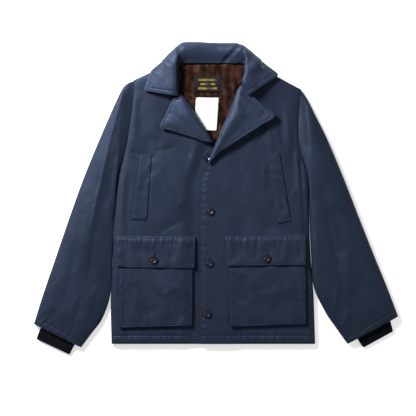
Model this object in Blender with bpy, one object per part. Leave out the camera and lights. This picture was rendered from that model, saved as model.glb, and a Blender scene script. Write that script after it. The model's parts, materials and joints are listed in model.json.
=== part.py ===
"""A padded cotton jacket, buttoned and laid flat on its back.

Metres, +Z up. The jacket lies on the plane z = 0 with its collar towards +Y. The wearer's right
is at -X. The origin is on that plane, under the middle of the jacket's box.
Each cloth piece is a closed wall: two lofted faces joined round their edges.
"""

import math
from collections import namedtuple

import bmesh
import bpy
import numpy as np

# Driving sizes of the cloth
GAP = 0.0004
LAID_ON_GAP = 0.0008
ARMHOLE_GAP = 0.0011
BACK_WALL = 0.0058
FRONT_WALL = 0.0096
SEAM_WALL = 0.0032
LINING_WALL = 0.0040
NECK_FRONT_WALL = 0.0056
COLLAR_WALL = 0.0042
LAPEL_WALL = 0.0034
UNDER_STAND_WALL = 0.0040
OVER_STAND_WALL = 0.0062
SLEEVE_WALL = 0.0082
SLEEVE_HEM_WALL = 0.0046
CUFF_WALL = 0.0022
WELT_WALL = 0.0022
FLAP_WALL = 0.0024
POCKET_WALL = 0.0020
LABEL_WALL = 0.0009

# Driving sizes of the garment
HEM_Y = -0.3615
HEM_DEPTH = 0.020
SIDE_ROUND = 0.020
SHOULDER_ROUND = 0.016
NECK_LIFT = 0.0058
FRONT_EDGE_X = -0.0380
UNDER_FRONT_EDGE_X = 0.0080
BUTTON_WIDTH = 0.0205
BUTTON_HEIGHT = 0.0042
BUTTON_HOLE = 0.0022
BUTTON_HOLE_SPACING = 0.0044

# The body's outline, hem to shoulder, on each side
Outline = namedtuple("Outline", "y right_x left_x")
BODY_OUTLINE = [
    Outline(-0.3615, -0.2606, 0.2475),
    Outline(-0.3020, -0.2620, 0.2456),
    Outline(-0.2450, -0.2624, 0.2436),
    Outline(-0.1770, -0.2590, 0.2385),
    Outline(-0.0900, -0.2552, 0.2335),
    Outline(-0.0200, -0.2520, 0.2322),
    Outline(0.0350, -0.2480, 0.2316),
    Outline(0.0620, -0.2420, 0.2280),
    Outline(0.0880, -0.2345, 0.2200),
    Outline(0.1150, -0.2276, 0.2115),
    Outline(0.1450, -0.2215, 0.2060),
    Outline(0.1850, -0.2160, 0.2045),
    Outline(0.2230, -0.2106, 0.2072),
    Outline(0.2600, -0.2066, 0.2108),
    Outline(0.2980, -0.2044, 0.2122),
]
ARMPIT_Y = 0.040
SHOULDER_RIGHT_Y = 0.2965
SHOULDER_LEFT_Y = 0.2740

# The shoulder and back neck line, from one armhole to the other
TopLine = namedtuple("TopLine", "x y")
TOP_LINE = [
    TopLine(-0.2300, 0.2840),
    TopLine(-0.2044, 0.2965),
    TopLine(-0.1600, 0.3165),
    TopLine(-0.0995, 0.3440),
    TopLine(-0.0600, 0.3380),
    TopLine(-0.0100, 0.3365),
    TopLine(0.0400, 0.3370),
    TopLine(0.0835, 0.3400),
    TopLine(0.1674, 0.2970),
    TopLine(0.2122, 0.2740),
    TopLine(0.2300, 0.2640),
]

# Where the fronts roll open, seen from above
RollLine = namedtuple("RollLine", "y right_x left_x")
ROLL_LINE = [
    RollLine(0.1300, 0.0020, -0.0055),
    RollLine(0.1430, -0.0060, 0.0000),
    RollLine(0.1710, -0.0240, 0.0125),
    RollLine(0.1980, -0.0415, 0.0244),
    RollLine(0.2350, -0.0656, 0.0394),
    RollLine(0.2680, -0.0900, 0.0500),
    RollLine(0.2850, -0.0940, 0.0560),
    RollLine(0.3060, -0.0945, 0.0730),
    RollLine(0.3400, -0.0945, 0.0760),
]

# Sections of the fronts, from the side to the edge that closes or rolls
FrontSection = namedtuple("FrontSection", "side_y edge_x edge_y rolled")
UNDER_FRONT = [
    FrontSection(-0.3615, 0.0080, -0.3615, 0.0),
    FrontSection(-0.2600, 0.0080, -0.2600, 0.0),
    FrontSection(-0.1500, 0.0080, -0.1500, 0.0),
    FrontSection(-0.0500, 0.0080, -0.0500, 0.0),
    FrontSection(0.0300, 0.0080, 0.0450, 0.0),
    FrontSection(0.0800, 0.0070, 0.1050, 0.0),
    FrontSection(0.1150, -0.0060, 0.1430, 1.0),
    FrontSection(0.1550, -0.0380, 0.1930, 1.0),
    FrontSection(0.1950, -0.0656, 0.2350, 1.0),
    FrontSection(0.2350, -0.0900, 0.2680, 1.0),
    FrontSection(0.2680, -0.0995, 0.3060, 0.2),
    FrontSection(0.2965, -0.1000, 0.3440, 0.0),
]
OVER_FRONT = [
    FrontSection(-0.3615, -0.0380, -0.3615, 0.0),
    FrontSection(-0.2600, -0.0380, -0.2600, 0.0),
    FrontSection(-0.1500, -0.0380, -0.1500, 0.0),
    FrontSection(-0.0600, -0.0378, -0.0600, 0.0),
    FrontSection(0.0100, -0.0374, 0.0100, 0.0),
    FrontSection(0.0420, -0.0345, 0.0450, 0.0),
    FrontSection(0.0740, -0.0235, 0.0770, 0.5),
    FrontSection(0.1050, -0.0100, 0.1170, 1.0),
    FrontSection(0.1400, 0.0160, 0.1790, 1.0),
    FrontSection(0.1780, 0.0394, 0.2350, 1.0),
    FrontSection(0.2150, 0.0544, 0.2800, 1.0),
    FrontSection(0.2480, 0.0800, 0.3060, 0.3),
    FrontSection(0.2740, 0.0850, 0.3395, 0.0),
]
ROLL_INSET = 0.0060

# Where each lapel folds, where its edge lies, and how high both are
LapelSection = namedtuple("LapelSection", "roll_x roll_y edge_x edge_y low_z roll_z edge_z")
LAPEL_RIGHT = [
    LapelSection(-0.0060, 0.1400, -0.0320, 0.1440, 0.0185, 0.0262, 0.0225),
    LapelSection(-0.0150, 0.1545, -0.0520, 0.1515, 0.0188, 0.0270, 0.0230),
    LapelSection(-0.0265, 0.1745, -0.0840, 0.1615, 0.0188, 0.0282, 0.0240),
    LapelSection(-0.0385, 0.1930, -0.1130, 0.1705, 0.0188, 0.0300, 0.0252),
    LapelSection(-0.0500, 0.2110, -0.1388, 0.1787, 0.0188, 0.0308, 0.0258),
    LapelSection(-0.0645, 0.2330, -0.1270, 0.2060, 0.0200, 0.0308, 0.0250),
    LapelSection(-0.0760, 0.2480, -0.1150, 0.2330, 0.0216, 0.0302, 0.0252),
    LapelSection(-0.0850, 0.2590, -0.1050, 0.2510, 0.0226, 0.0290, 0.0262),
]
LAPEL_LEFT = [
    LapelSection(-0.0232, 0.0770, -0.0090, 0.0780, 0.0188, 0.0262, 0.0250),
    LapelSection(-0.0185, 0.0950, -0.0010, 0.0960, 0.0189, 0.0272, 0.0256),
    LapelSection(-0.0120, 0.1120, 0.0100, 0.1160, 0.0189, 0.0285, 0.0268),
    LapelSection(-0.0035, 0.1330, 0.0340, 0.1322, 0.0194, 0.0304, 0.0288),
    LapelSection(0.0095, 0.1640, 0.0740, 0.1580, 0.0190, 0.0320, 0.0305),
    LapelSection(0.0220, 0.1930, 0.1150, 0.1845, 0.0188, 0.0328, 0.0318),
    LapelSection(0.0320, 0.2170, 0.1469, 0.2056, 0.0194, 0.0330, 0.0310),
    LapelSection(0.0430, 0.2450, 0.1200, 0.2300, 0.0216, 0.0326, 0.0288),
    LapelSection(0.0530, 0.2720, 0.0890, 0.2570, 0.0240, 0.0310, 0.0280),
]
NOSE = 0.0065

# Sections of the collar, from the neck seam over the roll to the outer edge. Distances out are
# along the direction that the section faces, in degrees from +X.
CollarSection = namedtuple(
    "CollarSection",
    "seam_x seam_y seam_z facing roll_out roll_z belly_out belly_z edge_out edge_z tuck",
)
COLLAR = [
    CollarSection(-0.0945, 0.2540, 0.0330, 170, 0.0060, 0.0372, 0.0450, 0.0330, 0.0860, 0.0255, 0.0),
    CollarSection(-0.0925, 0.2660, 0.0320, 171, 0.0070, 0.0380, 0.0445, 0.0338, 0.0850, 0.0250, 0.0),
    CollarSection(-0.0905, 0.2850, 0.0200, 170, 0.0082, 0.0395, 0.0435, 0.0345, 0.0800, 0.0240, 0.0),
    CollarSection(-0.0905, 0.3010, 0.0180, 166, 0.0088, 0.0405, 0.0430, 0.0350, 0.0735, 0.0225, 0.0),
    CollarSection(-0.0905, 0.3150, 0.0180, 157, 0.0095, 0.0405, 0.0400, 0.0325, 0.0590, 0.0150, 0.15),
    CollarSection(-0.0905, 0.3215, 0.0181, 149, 0.0105, 0.0405, 0.0425, 0.0275, 0.0460, 0.0070, 0.55),
    CollarSection(-0.0905, 0.3270, 0.0182, 140, 0.0120, 0.0400, 0.0440, 0.0205, 0.0350, 0.0026, 1.0),
    CollarSection(-0.0850, 0.3380, 0.0178, 117, 0.0200, 0.0375, 0.0410, 0.0170, 0.0180, 0.0026, 1.0),
    CollarSection(-0.0700, 0.3385, 0.0172, 101, 0.0330, 0.0300, 0.0510, 0.0150, -0.0180, 0.0026, 1.0),
    CollarSection(-0.0350, 0.3385, 0.0168, 91, 0.0360, 0.0250, 0.0503, 0.0140, -0.0200, 0.0026, 1.0),
    CollarSection(-0.0050, 0.3385, 0.0168, 90, 0.0360, 0.0240, 0.0495, 0.0140, -0.0200, 0.0026, 1.0),
    CollarSection(0.0260, 0.3385, 0.0168, 89, 0.0360, 0.0250, 0.0490, 0.0140, -0.0200, 0.0026, 1.0),
    CollarSection(0.0540, 0.3385, 0.0172, 80, 0.0330, 0.0300, 0.0470, 0.0150, -0.0190, 0.0026, 1.0),
    CollarSection(0.0730, 0.3375, 0.0178, 60, 0.0120, 0.0370, 0.0375, 0.0170, 0.0170, 0.0026, 1.0),
    CollarSection(0.0770, 0.3250, 0.0182, 32, -0.0020, 0.0385, 0.0440, 0.0210, 0.0360, 0.0026, 1.0),
    CollarSection(0.0765, 0.3160, 0.0182, 26, -0.0030, 0.0392, 0.0430, 0.0290, 0.0530, 0.0085, 0.55),
    CollarSection(0.0755, 0.3070, 0.0182, 20, -0.0035, 0.0395, 0.0380, 0.0345, 0.0690, 0.0160, 0.1),
    CollarSection(0.0680, 0.2930, 0.0260, 13, -0.0020, 0.0395, 0.0400, 0.0355, 0.0870, 0.0240, 0.0),
    CollarSection(0.0650, 0.2810, 0.0345, 18, 0.0030, 0.0400, 0.0420, 0.0360, 0.0925, 0.0250, 0.0),
    CollarSection(0.0730, 0.2670, 0.0350, 26, 0.0070, 0.0395, 0.0410, 0.0355, 0.0890, 0.0252, 0.0),
    CollarSection(0.0800, 0.2565, 0.0350, 34, 0.0080, 0.0390, 0.0400, 0.0350, 0.0865, 0.0255, 0.0),
]
HEEL_INSIDE = 0.0090

# Sections of the sleeves: where the underarm edge and the overarm edge lie, how closely the
# section follows the armhole's curve, the height of the crown, how far it has sunk at the
# underarm side, and the thickness of the wall
SleeveSection = namedtuple("SleeveSection", "under_x under_y over_x over_y follow crown sunk wall")
SLEEVE_RIGHT = [
    SleeveSection(-0.2484, 0.0350, -0.2050, 0.2955, 1.00, 0.0135, 0.00, 0.0042),
    SleeveSection(-0.2535, 0.0040, -0.2250, 0.2855, 0.45, 0.0195, 0.05, 0.0066),
    SleeveSection(-0.2558, -0.0320, -0.2420, 0.2600, 0.20, 0.0225, 0.12, 0.0082),
    SleeveSection(-0.2578, -0.0850, -0.2880, 0.1560, 0.10, 0.0230, 0.20, 0.0082),
    SleeveSection(-0.2610, -0.1550, -0.3315, 0.0500, 0.00, 0.0235, 0.30, 0.0082),
    SleeveSection(-0.2655, -0.2380, -0.3702, -0.0580, 0.00, 0.0240, 0.34, 0.0082),
    SleeveSection(-0.2834, -0.2980, -0.4037, -0.1560, 0.00, 0.0235, 0.22, 0.0078),
    SleeveSection(-0.3105, -0.3358, -0.4331, -0.2420, 0.00, 0.0220, 0.10, 0.0062),
    SleeveSection(-0.3365, -0.3705, -0.4549, -0.3120, 0.00, 0.0190, 0.00, 0.0046),
]
SLEEVE_LEFT = [
    SleeveSection(0.2324, 0.0350, 0.2128, 0.2730, 1.00, 0.0135, 0.00, 0.0042),
    SleeveSection(0.2370, 0.0060, 0.2290, 0.2490, 0.45, 0.0195, 0.00, 0.0066),
    SleeveSection(0.2378, -0.0280, 0.2480, 0.2110, 0.20, 0.0230, 0.00, 0.0082),
    SleeveSection(0.2388, -0.0780, 0.2800, 0.1460, 0.10, 0.0240, 0.00, 0.0082),
    SleeveSection(0.2420, -0.1450, 0.3195, 0.0520, 0.00, 0.0245, 0.00, 0.0082),
    SleeveSection(0.2480, -0.2180, 0.3583, -0.0480, 0.00, 0.0245, 0.04, 0.0082),
    SleeveSection(0.2722, -0.2818, 0.3964, -0.1440, 0.00, 0.0235, 0.06, 0.0078),
    SleeveSection(0.3000, -0.3230, 0.4285, -0.2230, 0.00, 0.0215, 0.04, 0.0062),
    SleeveSection(0.3280, -0.3620, 0.4551, -0.2930, 0.00, 0.0190, 0.00, 0.0046),
]
EDGE_RISE = 0.0075
SLEEVE_ROUNDNESS = 2.7

# Sections of the rib cuffs, from inside the sleeve to the free end
CuffSection = namedtuple("CuffSection", "under_x under_y over_x over_y middle_z thick")
CUFF_RIGHT = [
    CuffSection(-0.3380, -0.3300, -0.4190, -0.2870, 0.0100, 0.0080),
    CuffSection(-0.3520, -0.3620, -0.4365, -0.3195, 0.0096, 0.0058),
    CuffSection(-0.3590, -0.3755, -0.4430, -0.3340, 0.0070, 0.0064),
    CuffSection(-0.3655, -0.3890, -0.4490, -0.3500, 0.0048, 0.0062),
]
CUFF_LEFT = [
    CuffSection(0.3350, -0.3150, 0.4165, -0.2700, 0.0100, 0.0080),
    CuffSection(0.3520, -0.3470, 0.4340, -0.3020, 0.0096, 0.0058),
    CuffSection(0.3600, -0.3600, 0.4385, -0.3160, 0.0070, 0.0064),
    CuffSection(0.3680, -0.3715, 0.4430, -0.3305, 0.0048, 0.0062),
]

# What is sewn to the fronts: corners seen from above, the first one at the top towards -X
Patch = namedtuple("Patch", "x0 y0 x1 y1 x2 y2 x3 y3")
FLAP_RIGHT = Patch(-0.2470, -0.0915, -0.0520, -0.0930, -0.0540, -0.1725, -0.2478, -0.1690)
FLAP_LEFT = Patch(0.0225, -0.0920, 0.2235, -0.0890, 0.2240, -0.1640, 0.0280, -0.1670)
POCKET_RIGHT = Patch(-0.2440, -0.1050, -0.0575, -0.1060, -0.0600, -0.3150, -0.2405, -0.3200)
POCKET_LEFT = Patch(0.0300, -0.1050, 0.2210, -0.1030, 0.2235, -0.3110, 0.0355, -0.3175)
WELT_RIGHT = Patch(-0.1890, 0.1115, -0.1610, 0.1100, -0.1730, -0.0520, -0.2100, -0.0510)
WELT_LEFT = Patch(0.1290, 0.1140, 0.1580, 0.1150, 0.1856, -0.0535, 0.1544, -0.0620)
LABEL_MAIN = Patch(-0.0530, 0.3055, 0.0120, 0.3045, 0.0130, 0.2670, -0.0525, 0.2680)
LABEL_CARE = Patch(-0.0500, 0.2525, 0.0070, 0.2520, 0.0010, 0.1710, -0.0520, 0.1720)
POCKET_STANDS_OFF = 0.0062
POCKET_RIM = 0.010

Button = namedtuple("Button", "name x y turned carried_by")
BUTTONS = [
    Button("button_front_1", -0.0215, 0.1040, 20, "under"),
    Button("button_front_2", -0.0144, -0.0300, 55, "over"),
    Button("button_front_3", -0.0174, -0.1590, 15, "over"),
    Button("button_front_4", -0.0226, -0.2850, 70, "over"),
    Button("button_pocket_right", -0.1550, -0.1510, 40, "flap"),
    Button("button_pocket_left", 0.1254, -0.1470, 5, "flap"),
]

# The largest folds of the fronts: a soft trough or ridge from one point to another
Fold = namedtuple("Fold", "x0 y0 x1 y1 half_width height")
BODY_FOLDS = [
    Fold(-0.195, 0.085, -0.140, 0.150, 0.030, -0.0016),
    Fold(-0.130, 0.118, -0.060, 0.105, 0.026, -0.0014),
    Fold(-0.130, -0.078, -0.050, -0.045, 0.024, -0.0012),
    Fold(-0.170, 0.060, -0.090, -0.030, 0.036, 0.0014),
    Fold(0.060, -0.050, 0.150, -0.075, 0.028, -0.0012),
    Fold(0.100, 0.060, 0.050, -0.020, 0.036, 0.0014),
    Fold(0.185, 0.250, 0.192, 0.130, 0.024, 0.0014),
]
SLEEVE_FOLDS = [
    Fold(-0.236, 0.262, -0.288, 0.040, 0.020, 0.0026),
    Fold(-0.288, 0.040, -0.320, -0.120, 0.022, 0.0020),
    Fold(-0.272, -0.050, -0.285, -0.240, 0.024, -0.0028),
    Fold(-0.350, -0.120, -0.400, -0.270, 0.028, -0.0014),
    Fold(0.290, -0.020, 0.318, -0.140, 0.020, -0.0022),
    Fold(0.322, -0.130, 0.332, -0.240, 0.016, 0.0022),
    Fold(0.360, -0.190, 0.345, -0.280, 0.018, -0.0018),
    Fold(0.265, 0.110, 0.325, -0.020, 0.026, 0.0014),
]

# Colours from the cloth, in linear light
NAVY = (0.031, 0.041, 0.074)
NAVY_RIB = (0.010, 0.013, 0.022)
BROWN_PILE = (0.055, 0.018, 0.012)
HORN = (0.045, 0.028, 0.070)
WOVEN_NAVY = (0.020, 0.020, 0.026)
WHITE_TAPE = (0.800, 0.800, 0.790)


def smoothstep(low, high, value):
    """0 below low, 1 above high, and a smooth rise between them."""
    t = np.clip((np.asarray(value, float) - low) / (high - low), 0.0, 1.0)
    return t * t * (3.0 - 2.0 * t)


def curve_through(points, count):
    """count points, evenly spaced, on a smooth curve through the given points."""
    points = np.asarray(points, float)
    steps = np.maximum(np.linalg.norm(np.diff(points, axis=0), axis=1), 1e-9)
    knots = np.concatenate([[0.0], np.cumsum(steps)])
    slopes = np.gradient(points, knots, axis=0)
    at = np.linspace(0.0, knots[-1], 40 * len(points))
    i = np.clip(np.searchsorted(knots, at, side="right") - 1, 0, len(steps) - 1)
    t = ((at - knots[i]) / steps[i])[:, None]
    h = steps[i][:, None]
    fine = (
        (2 * t**3 - 3 * t**2 + 1) * points[i]
        + (t**3 - 2 * t**2 + t) * h * slopes[i]
        + (3 * t**2 - 2 * t**3) * points[i + 1]
        + (t**3 - t**2) * h * slopes[i + 1]
    )
    along = np.concatenate([[0.0], np.cumsum(np.linalg.norm(np.diff(fine, axis=0), axis=1))])
    even = np.linspace(0.0, along[-1], count)
    return np.stack([np.interp(even, along, fine[:, k]) for k in range(fine.shape[1])], axis=1)


def rows_between(table, count):
    """The table's rows as numbers, with smooth rows in between, count in all."""
    rows = np.array([tuple(row) for row in table], float)
    index = np.arange(len(rows), dtype=float)
    at = np.linspace(0, len(rows) - 1, count)
    slopes = np.gradient(rows, index, axis=0)
    i = np.clip(at.astype(int), 0, len(rows) - 2)
    t = (at - i)[:, None]
    return (
        (2 * t**3 - 3 * t**2 + 1) * rows[i]
        + (t**3 - 2 * t**2 + t) * slopes[i]
        + (3 * t**2 - 2 * t**3) * rows[i + 1]
        + (t**3 - t**2) * slopes[i + 1]
    )


def side_x(y, column):
    """The body's outline at this height up the jacket; column is right_x or left_x."""
    table = curve_through([(row.y, getattr(row, column)) for row in BODY_OUTLINE], 160)
    return np.interp(y, table[:, 0], table[:, 1])


def top_y(x):
    """The shoulder and neck line over this distance across the jacket."""
    return np.interp(x, [row.x for row in TOP_LINE], [row.y for row in TOP_LINE])


def fold_height(folds, x, y):
    """The sum of the folds' heights at a place seen from above."""
    total = np.zeros(np.broadcast(x, y).shape)
    for fold in folds:
        dx, dy = fold.x1 - fold.x0, fold.y1 - fold.y0
        length = math.hypot(dx, dy)
        along = ((x - fold.x0) * dx + (y - fold.y0) * dy) / length**2
        across = ((x - fold.x0) * dy - (y - fold.y0) * dx) / length
        fade = np.exp(-np.maximum(0.0, np.abs(along - 0.5) - 0.35) ** 2 / 0.02)
        total = total + fold.height * fade * np.exp(-((across / fold.half_width) ** 2))
    return total


def lift(x, y, early=0.0):
    """How far the body lies off the ground where the collar's fall is tucked under it."""
    up = smoothstep(0.215 - early, 0.305 - early, y)
    return NECK_LIFT * up * (1 - smoothstep(0.105 + early, 0.195 + early, np.abs(x + 0.008)))


def bed(x, y):
    """The height of what lies on the back panel."""
    return BACK_WALL + GAP + lift(x, y, 0.012)


def edge_round(distance, radius):
    """0 at an edge, rising as a quarter circle to 1 at the radius."""
    t = 1.0 - np.clip(distance / radius, 0.0, 1.0)
    return np.sqrt(np.maximum(0.0, 1.0 - t * t))


def front_fullness(x, y):
    """How full the fronts are: 0 at the sides and shoulders, 1 inside."""
    side = np.minimum(x - side_x(y, "right_x"), side_x(y, "left_x") - x)
    return edge_round(side, SIDE_ROUND) * edge_round(top_y(x) - y, SHOULDER_ROUND)


def front_outside(x, y):
    """The outer face of the fronts, before one laps over the other."""
    base = bed(x, y)
    seam = base + SEAM_WALL + 0.0025 * smoothstep(ARMPIT_Y - 0.03, ARMPIT_Y + 0.05, y)
    full = base + FRONT_WALL + fold_height(BODY_FOLDS, x, y)
    hem = 0.0020 * (1 - edge_round(y - HEM_Y, 0.012))
    return seam + (full - seam) * front_fullness(x, y) - hem


def closing_edge(y):
    """Where the left front's edge lies on the right front."""
    return np.interp(y, [0.010, 0.045, 0.077, 0.117, 0.150], [-0.0380, -0.0345, -0.0235, -0.0100, 0.004])


def under_outside(x, y):
    """The outer face of the right front, pressed thin where the left one laps over it."""
    share = smoothstep(-0.048, -0.016, x - closing_edge(y)) * (1 - smoothstep(0.140, 0.180, y))
    return front_outside(x, y) * (1 - share) + (bed(x, y) + UNDER_STAND_WALL) * share


def over_lap(x, y):
    """1 where the left front lies on the right one."""
    return (1 - smoothstep(0.026, 0.090, x)) * (1 - smoothstep(0.150, 0.190, y))


def over_underside(x, y):
    """The inner face of the left front."""
    return bed(x, y) + (UNDER_STAND_WALL + GAP) * over_lap(x, y)


def over_outside(x, y):
    """The outer face of the left front."""
    share = over_lap(x, y)
    return front_outside(x, y) * (1 - share) + (over_underside(x, y) + OVER_STAND_WALL) * share


def outside(x, y):
    """The outer face of whichever front shows at this place."""
    return np.where(x < closing_edge(y), under_outside(x, y), over_outside(x, y))


def cloth_material(name, colour, roughness):
    """A plain material with the cloth's colour."""
    material = bpy.data.materials.new(name)
    material.use_nodes = True
    shader = material.node_tree.nodes["Principled BSDF"]
    shader.inputs["Base Color"].default_value = (*colour, 1.0)
    shader.inputs["Roughness"].default_value = roughness
    shader.inputs["Metallic"].default_value = 0.0
    return material


def object_from(name, mesh, material):
    """A named object in the scene with one material."""
    mesh.materials.append(material)
    item = bpy.data.objects.new(name, mesh)
    bpy.context.scene.collection.objects.link(item)
    return item


def solid_of_faces(name, faces_of_points, material):
    """A closed body from grids of points that share their outer edges."""
    shape = bmesh.new()
    for grid in faces_of_points:
        corners = [[shape.verts.new(tuple(point)) for point in row] for row in grid]
        for i in range(len(corners) - 1):
            for j in range(len(corners[0]) - 1):
                shape.faces.new(
                    (corners[i][j], corners[i][j + 1], corners[i + 1][j + 1], corners[i + 1][j])
                )
    bmesh.ops.remove_doubles(shape, verts=shape.verts, dist=1e-6)
    bmesh.ops.recalc_face_normals(shape, faces=shape.faces)
    mesh = bpy.data.meshes.new(name)
    shape.to_mesh(mesh)
    shape.free()
    mesh.shade_smooth()
    mesh.set_sharp_from_angle(angle=math.radians(50))
    return object_from(name, mesh, material)


def wall(name, outer, inner, material):
    """A piece of cloth: an outer and an inner face of the same size, joined round the edge."""
    rims = [
        np.stack([outer[0], inner[0]]),
        np.stack([outer[-1], inner[-1]]),
        np.stack([outer[:, 0], inner[:, 0]]),
        np.stack([outer[:, -1], inner[:, -1]]),
    ]
    return solid_of_faces(name, [outer, inner, *rims], material)


def tube(name, outer, inner, material):
    """A piece of cloth in the round, open at both ends. Each row is one ring."""
    outer = np.concatenate([outer, outer[:, :1]], axis=1)
    inner = np.concatenate([inner, inner[:, :1]], axis=1)
    ends = [np.stack([outer[0], inner[0]]), np.stack([outer[-1], inner[-1]])]
    return solid_of_faces(name, [outer, inner, *ends], material)


def with_heights(plan, height):
    """Points of a plan (x, y) with a height from a function of x and y."""
    x, y = plan[..., 0], plan[..., 1]
    return np.stack([x, y, height(x, y)], axis=-1)


def crowded(count, crowd):
    """Shares from 0 to 1 that lie closer together near both ends."""
    t = np.linspace(0.0, 1.0, count)
    return t + crowd * (0.5 * (1 - np.cos(math.pi * t)) - t)


def spread(length, first, last, between):
    """Distances from 0 to length: some near the start, some near the end, some between."""
    first = np.asarray(first) * min(1.0, length / 0.18)
    last = length - np.asarray(last)[::-1]
    return np.concatenate([first, np.linspace(first[-1], last[0], between + 2)[1:-1], last])


def front_plan(table, column, rows):
    """Where a front's points lie, seen from above, from the side to the closing edge."""
    plan = []
    for side_y, edge_x, edge_y, rolled in rows_between(table, rows):
        side = np.array([float(side_x(side_y, column)), side_y])
        edge = np.array([edge_x, edge_y])
        length = float(np.linalg.norm(edge - side))
        inset = ROLL_INSET * np.clip(rolled, 0.0, 1.0)
        near_side = [0.0, 0.003, 0.009, 0.020]
        near_edge = [0.0, 0.010, 0.022, 0.034, 0.048, 0.064]
        at = spread(length - inset, near_side, near_edge, 5)
        plan.append(side + at[:, None] / length * (edge - side))
    return np.array(plan)


def make_back(material):
    """The whole back, flat where it lies on the ground."""
    plan = []
    for level in np.concatenate([np.linspace(0.0, 0.55, 6), np.linspace(0.6, 1.0, 15)]):
        right_y = HEM_Y + level * (SHOULDER_RIGHT_Y - HEM_Y)
        left_y = HEM_Y + level * (SHOULDER_LEFT_Y - HEM_Y)
        right = np.array([float(side_x(right_y, "right_x")), right_y])
        left = np.array([float(side_x(left_y, "left_x")), left_y])
        at = spread(1.0, [0.0, 0.04], [0.0, 0.04], 11)
        row = right + at[:, None] * (left - right)
        chord = SHOULDER_RIGHT_Y + at * (SHOULDER_LEFT_Y - SHOULDER_RIGHT_Y)
        row[:, 1] += np.maximum(top_y(row[:, 0]) - chord, 0.0) * smoothstep(0.35, 1.0, level)
        plan.append(row)
    plan = np.array(plan)
    outer = with_heights(plan, lift)
    inner = with_heights(plan, lambda x, y: lift(x, y) + BACK_WALL)
    wall("back", outer, inner, material)


def make_fronts(material):
    """The right front and, lapping over it, the left front."""
    under = front_plan(UNDER_FRONT, "right_x", 25)
    wall("front_right", with_heights(under, under_outside), with_heights(under, bed), material)
    over = front_plan(OVER_FRONT, "left_x", 27)
    wall(
        "front_left",
        with_heights(over, over_outside),
        with_heights(over, over_underside),
        material,
    )


def roll_x(y, column):
    """Where the front on this side rolls open at this height up the jacket."""
    return np.interp(y, [row.y for row in ROLL_LINE], [getattr(row, column) for row in ROLL_LINE])


def make_lining(material):
    """The pile lining on the back, as far as it shows."""
    y = np.linspace(0.148, 0.3360, 13)[:, None]
    right = roll_x(y, "right_x") - 0.003
    left = roll_x(y, "left_x") + 0.003
    x = right + (left - right) * np.linspace(0.0, 1.0, 7)
    plan = np.stack([x, np.broadcast_to(y, x.shape)], axis=-1)
    wall("lining", with_heights(plan, lining_outside), with_heights(plan, bed), material)


def lining_outside(x, y):
    """The tips of the pile."""
    return bed(x, y) + LINING_WALL


def sheet_wall(name, middle, thickness, material):
    """A wall of even thickness about the points down its middle."""
    along = np.gradient(middle, axis=0)
    across = np.gradient(middle, axis=1)
    normal = np.cross(along, across)
    normal /= np.linalg.norm(normal, axis=-1, keepdims=True)
    half = normal * thickness / 2
    return wall(name, middle + half, middle - half, material)


def make_collar(material):
    """The stand and fall, as one cloth round the neck."""
    stations = rows_between(COLLAR, 34)
    middle = np.zeros((len(stations), 15, 3))
    for i, row in enumerate(stations):
        section = CollarSection(*row)
        angle = math.radians(section.facing)
        tuck = float(np.clip(section.tuck, 0.0, 1.0))
        half_way = ((section.belly_out + section.edge_out) / 2, (section.belly_z + section.edge_z) / 2)
        under = (section.belly_out - HEEL_INSIDE, section.edge_z)
        heel = tuple(flat + (folded - flat) * tuck for flat, folded in zip(half_way, under))
        line = curve_through(
            [
                (0.0, section.seam_z),
                (section.roll_out, section.roll_z),
                (section.belly_out, section.belly_z),
                heel,
                (section.edge_out, section.edge_z),
            ],
            15,
        )
        middle[i, :, 0] = section.seam_x + math.cos(angle) * line[:, 0]
        middle[i, :, 1] = section.seam_y + math.sin(angle) * line[:, 0]
        middle[i, :, 2] = np.maximum(line[:, 1], COLLAR_WALL / 2 + 0.0002)
    sheet_wall("collar", middle, COLLAR_WALL, material)


def make_lapel(name, table, material):
    """A turned-back facing, with the nose of its fold."""
    stations = rows_between(table, 2 * len(table) + 1)
    middle = np.zeros((len(stations), 11, 3))
    for i, row in enumerate(stations):
        section = LapelSection(*row)
        roll = np.array([section.roll_x, section.roll_y])
        edge = np.array([section.edge_x, section.edge_y])
        reach = float(np.linalg.norm(edge - roll))
        direction = (edge - roll) / reach
        nose = min(NOSE, 0.45 * reach)
        half = LAPEL_WALL / 2
        line = curve_through(
            [
                (nose, section.low_z),
                (half, (section.low_z + section.roll_z) / 2),
                (nose, section.roll_z),
                ((nose + reach) / 2, (section.roll_z + section.edge_z) / 2 + 0.0008),
                (reach, section.edge_z),
            ],
            11,
        )
        middle[i, :, 0] = section.roll_x + direction[0] * line[:, 0]
        middle[i, :, 1] = section.roll_y + direction[1] * line[:, 0]
        middle[i, :, 2] = line[:, 1]
    sheet_wall(name, middle, LAPEL_WALL, material)


def flat_ring(half_count, roundness):
    """Places round a flat tube: across it from -1 to 1, how far to its crown, and which side."""
    t = np.arange(2 * half_count) / half_count
    above = t < 1.0
    t = np.where(above, t, 2.0 - t)
    across = 0.45 * (1 - 2 * t) + 0.55 * np.cos(math.pi * t)
    up = np.maximum(0.0, 1 - np.abs(across) ** roundness) ** (1 / roundness)
    return across, up, above


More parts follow.
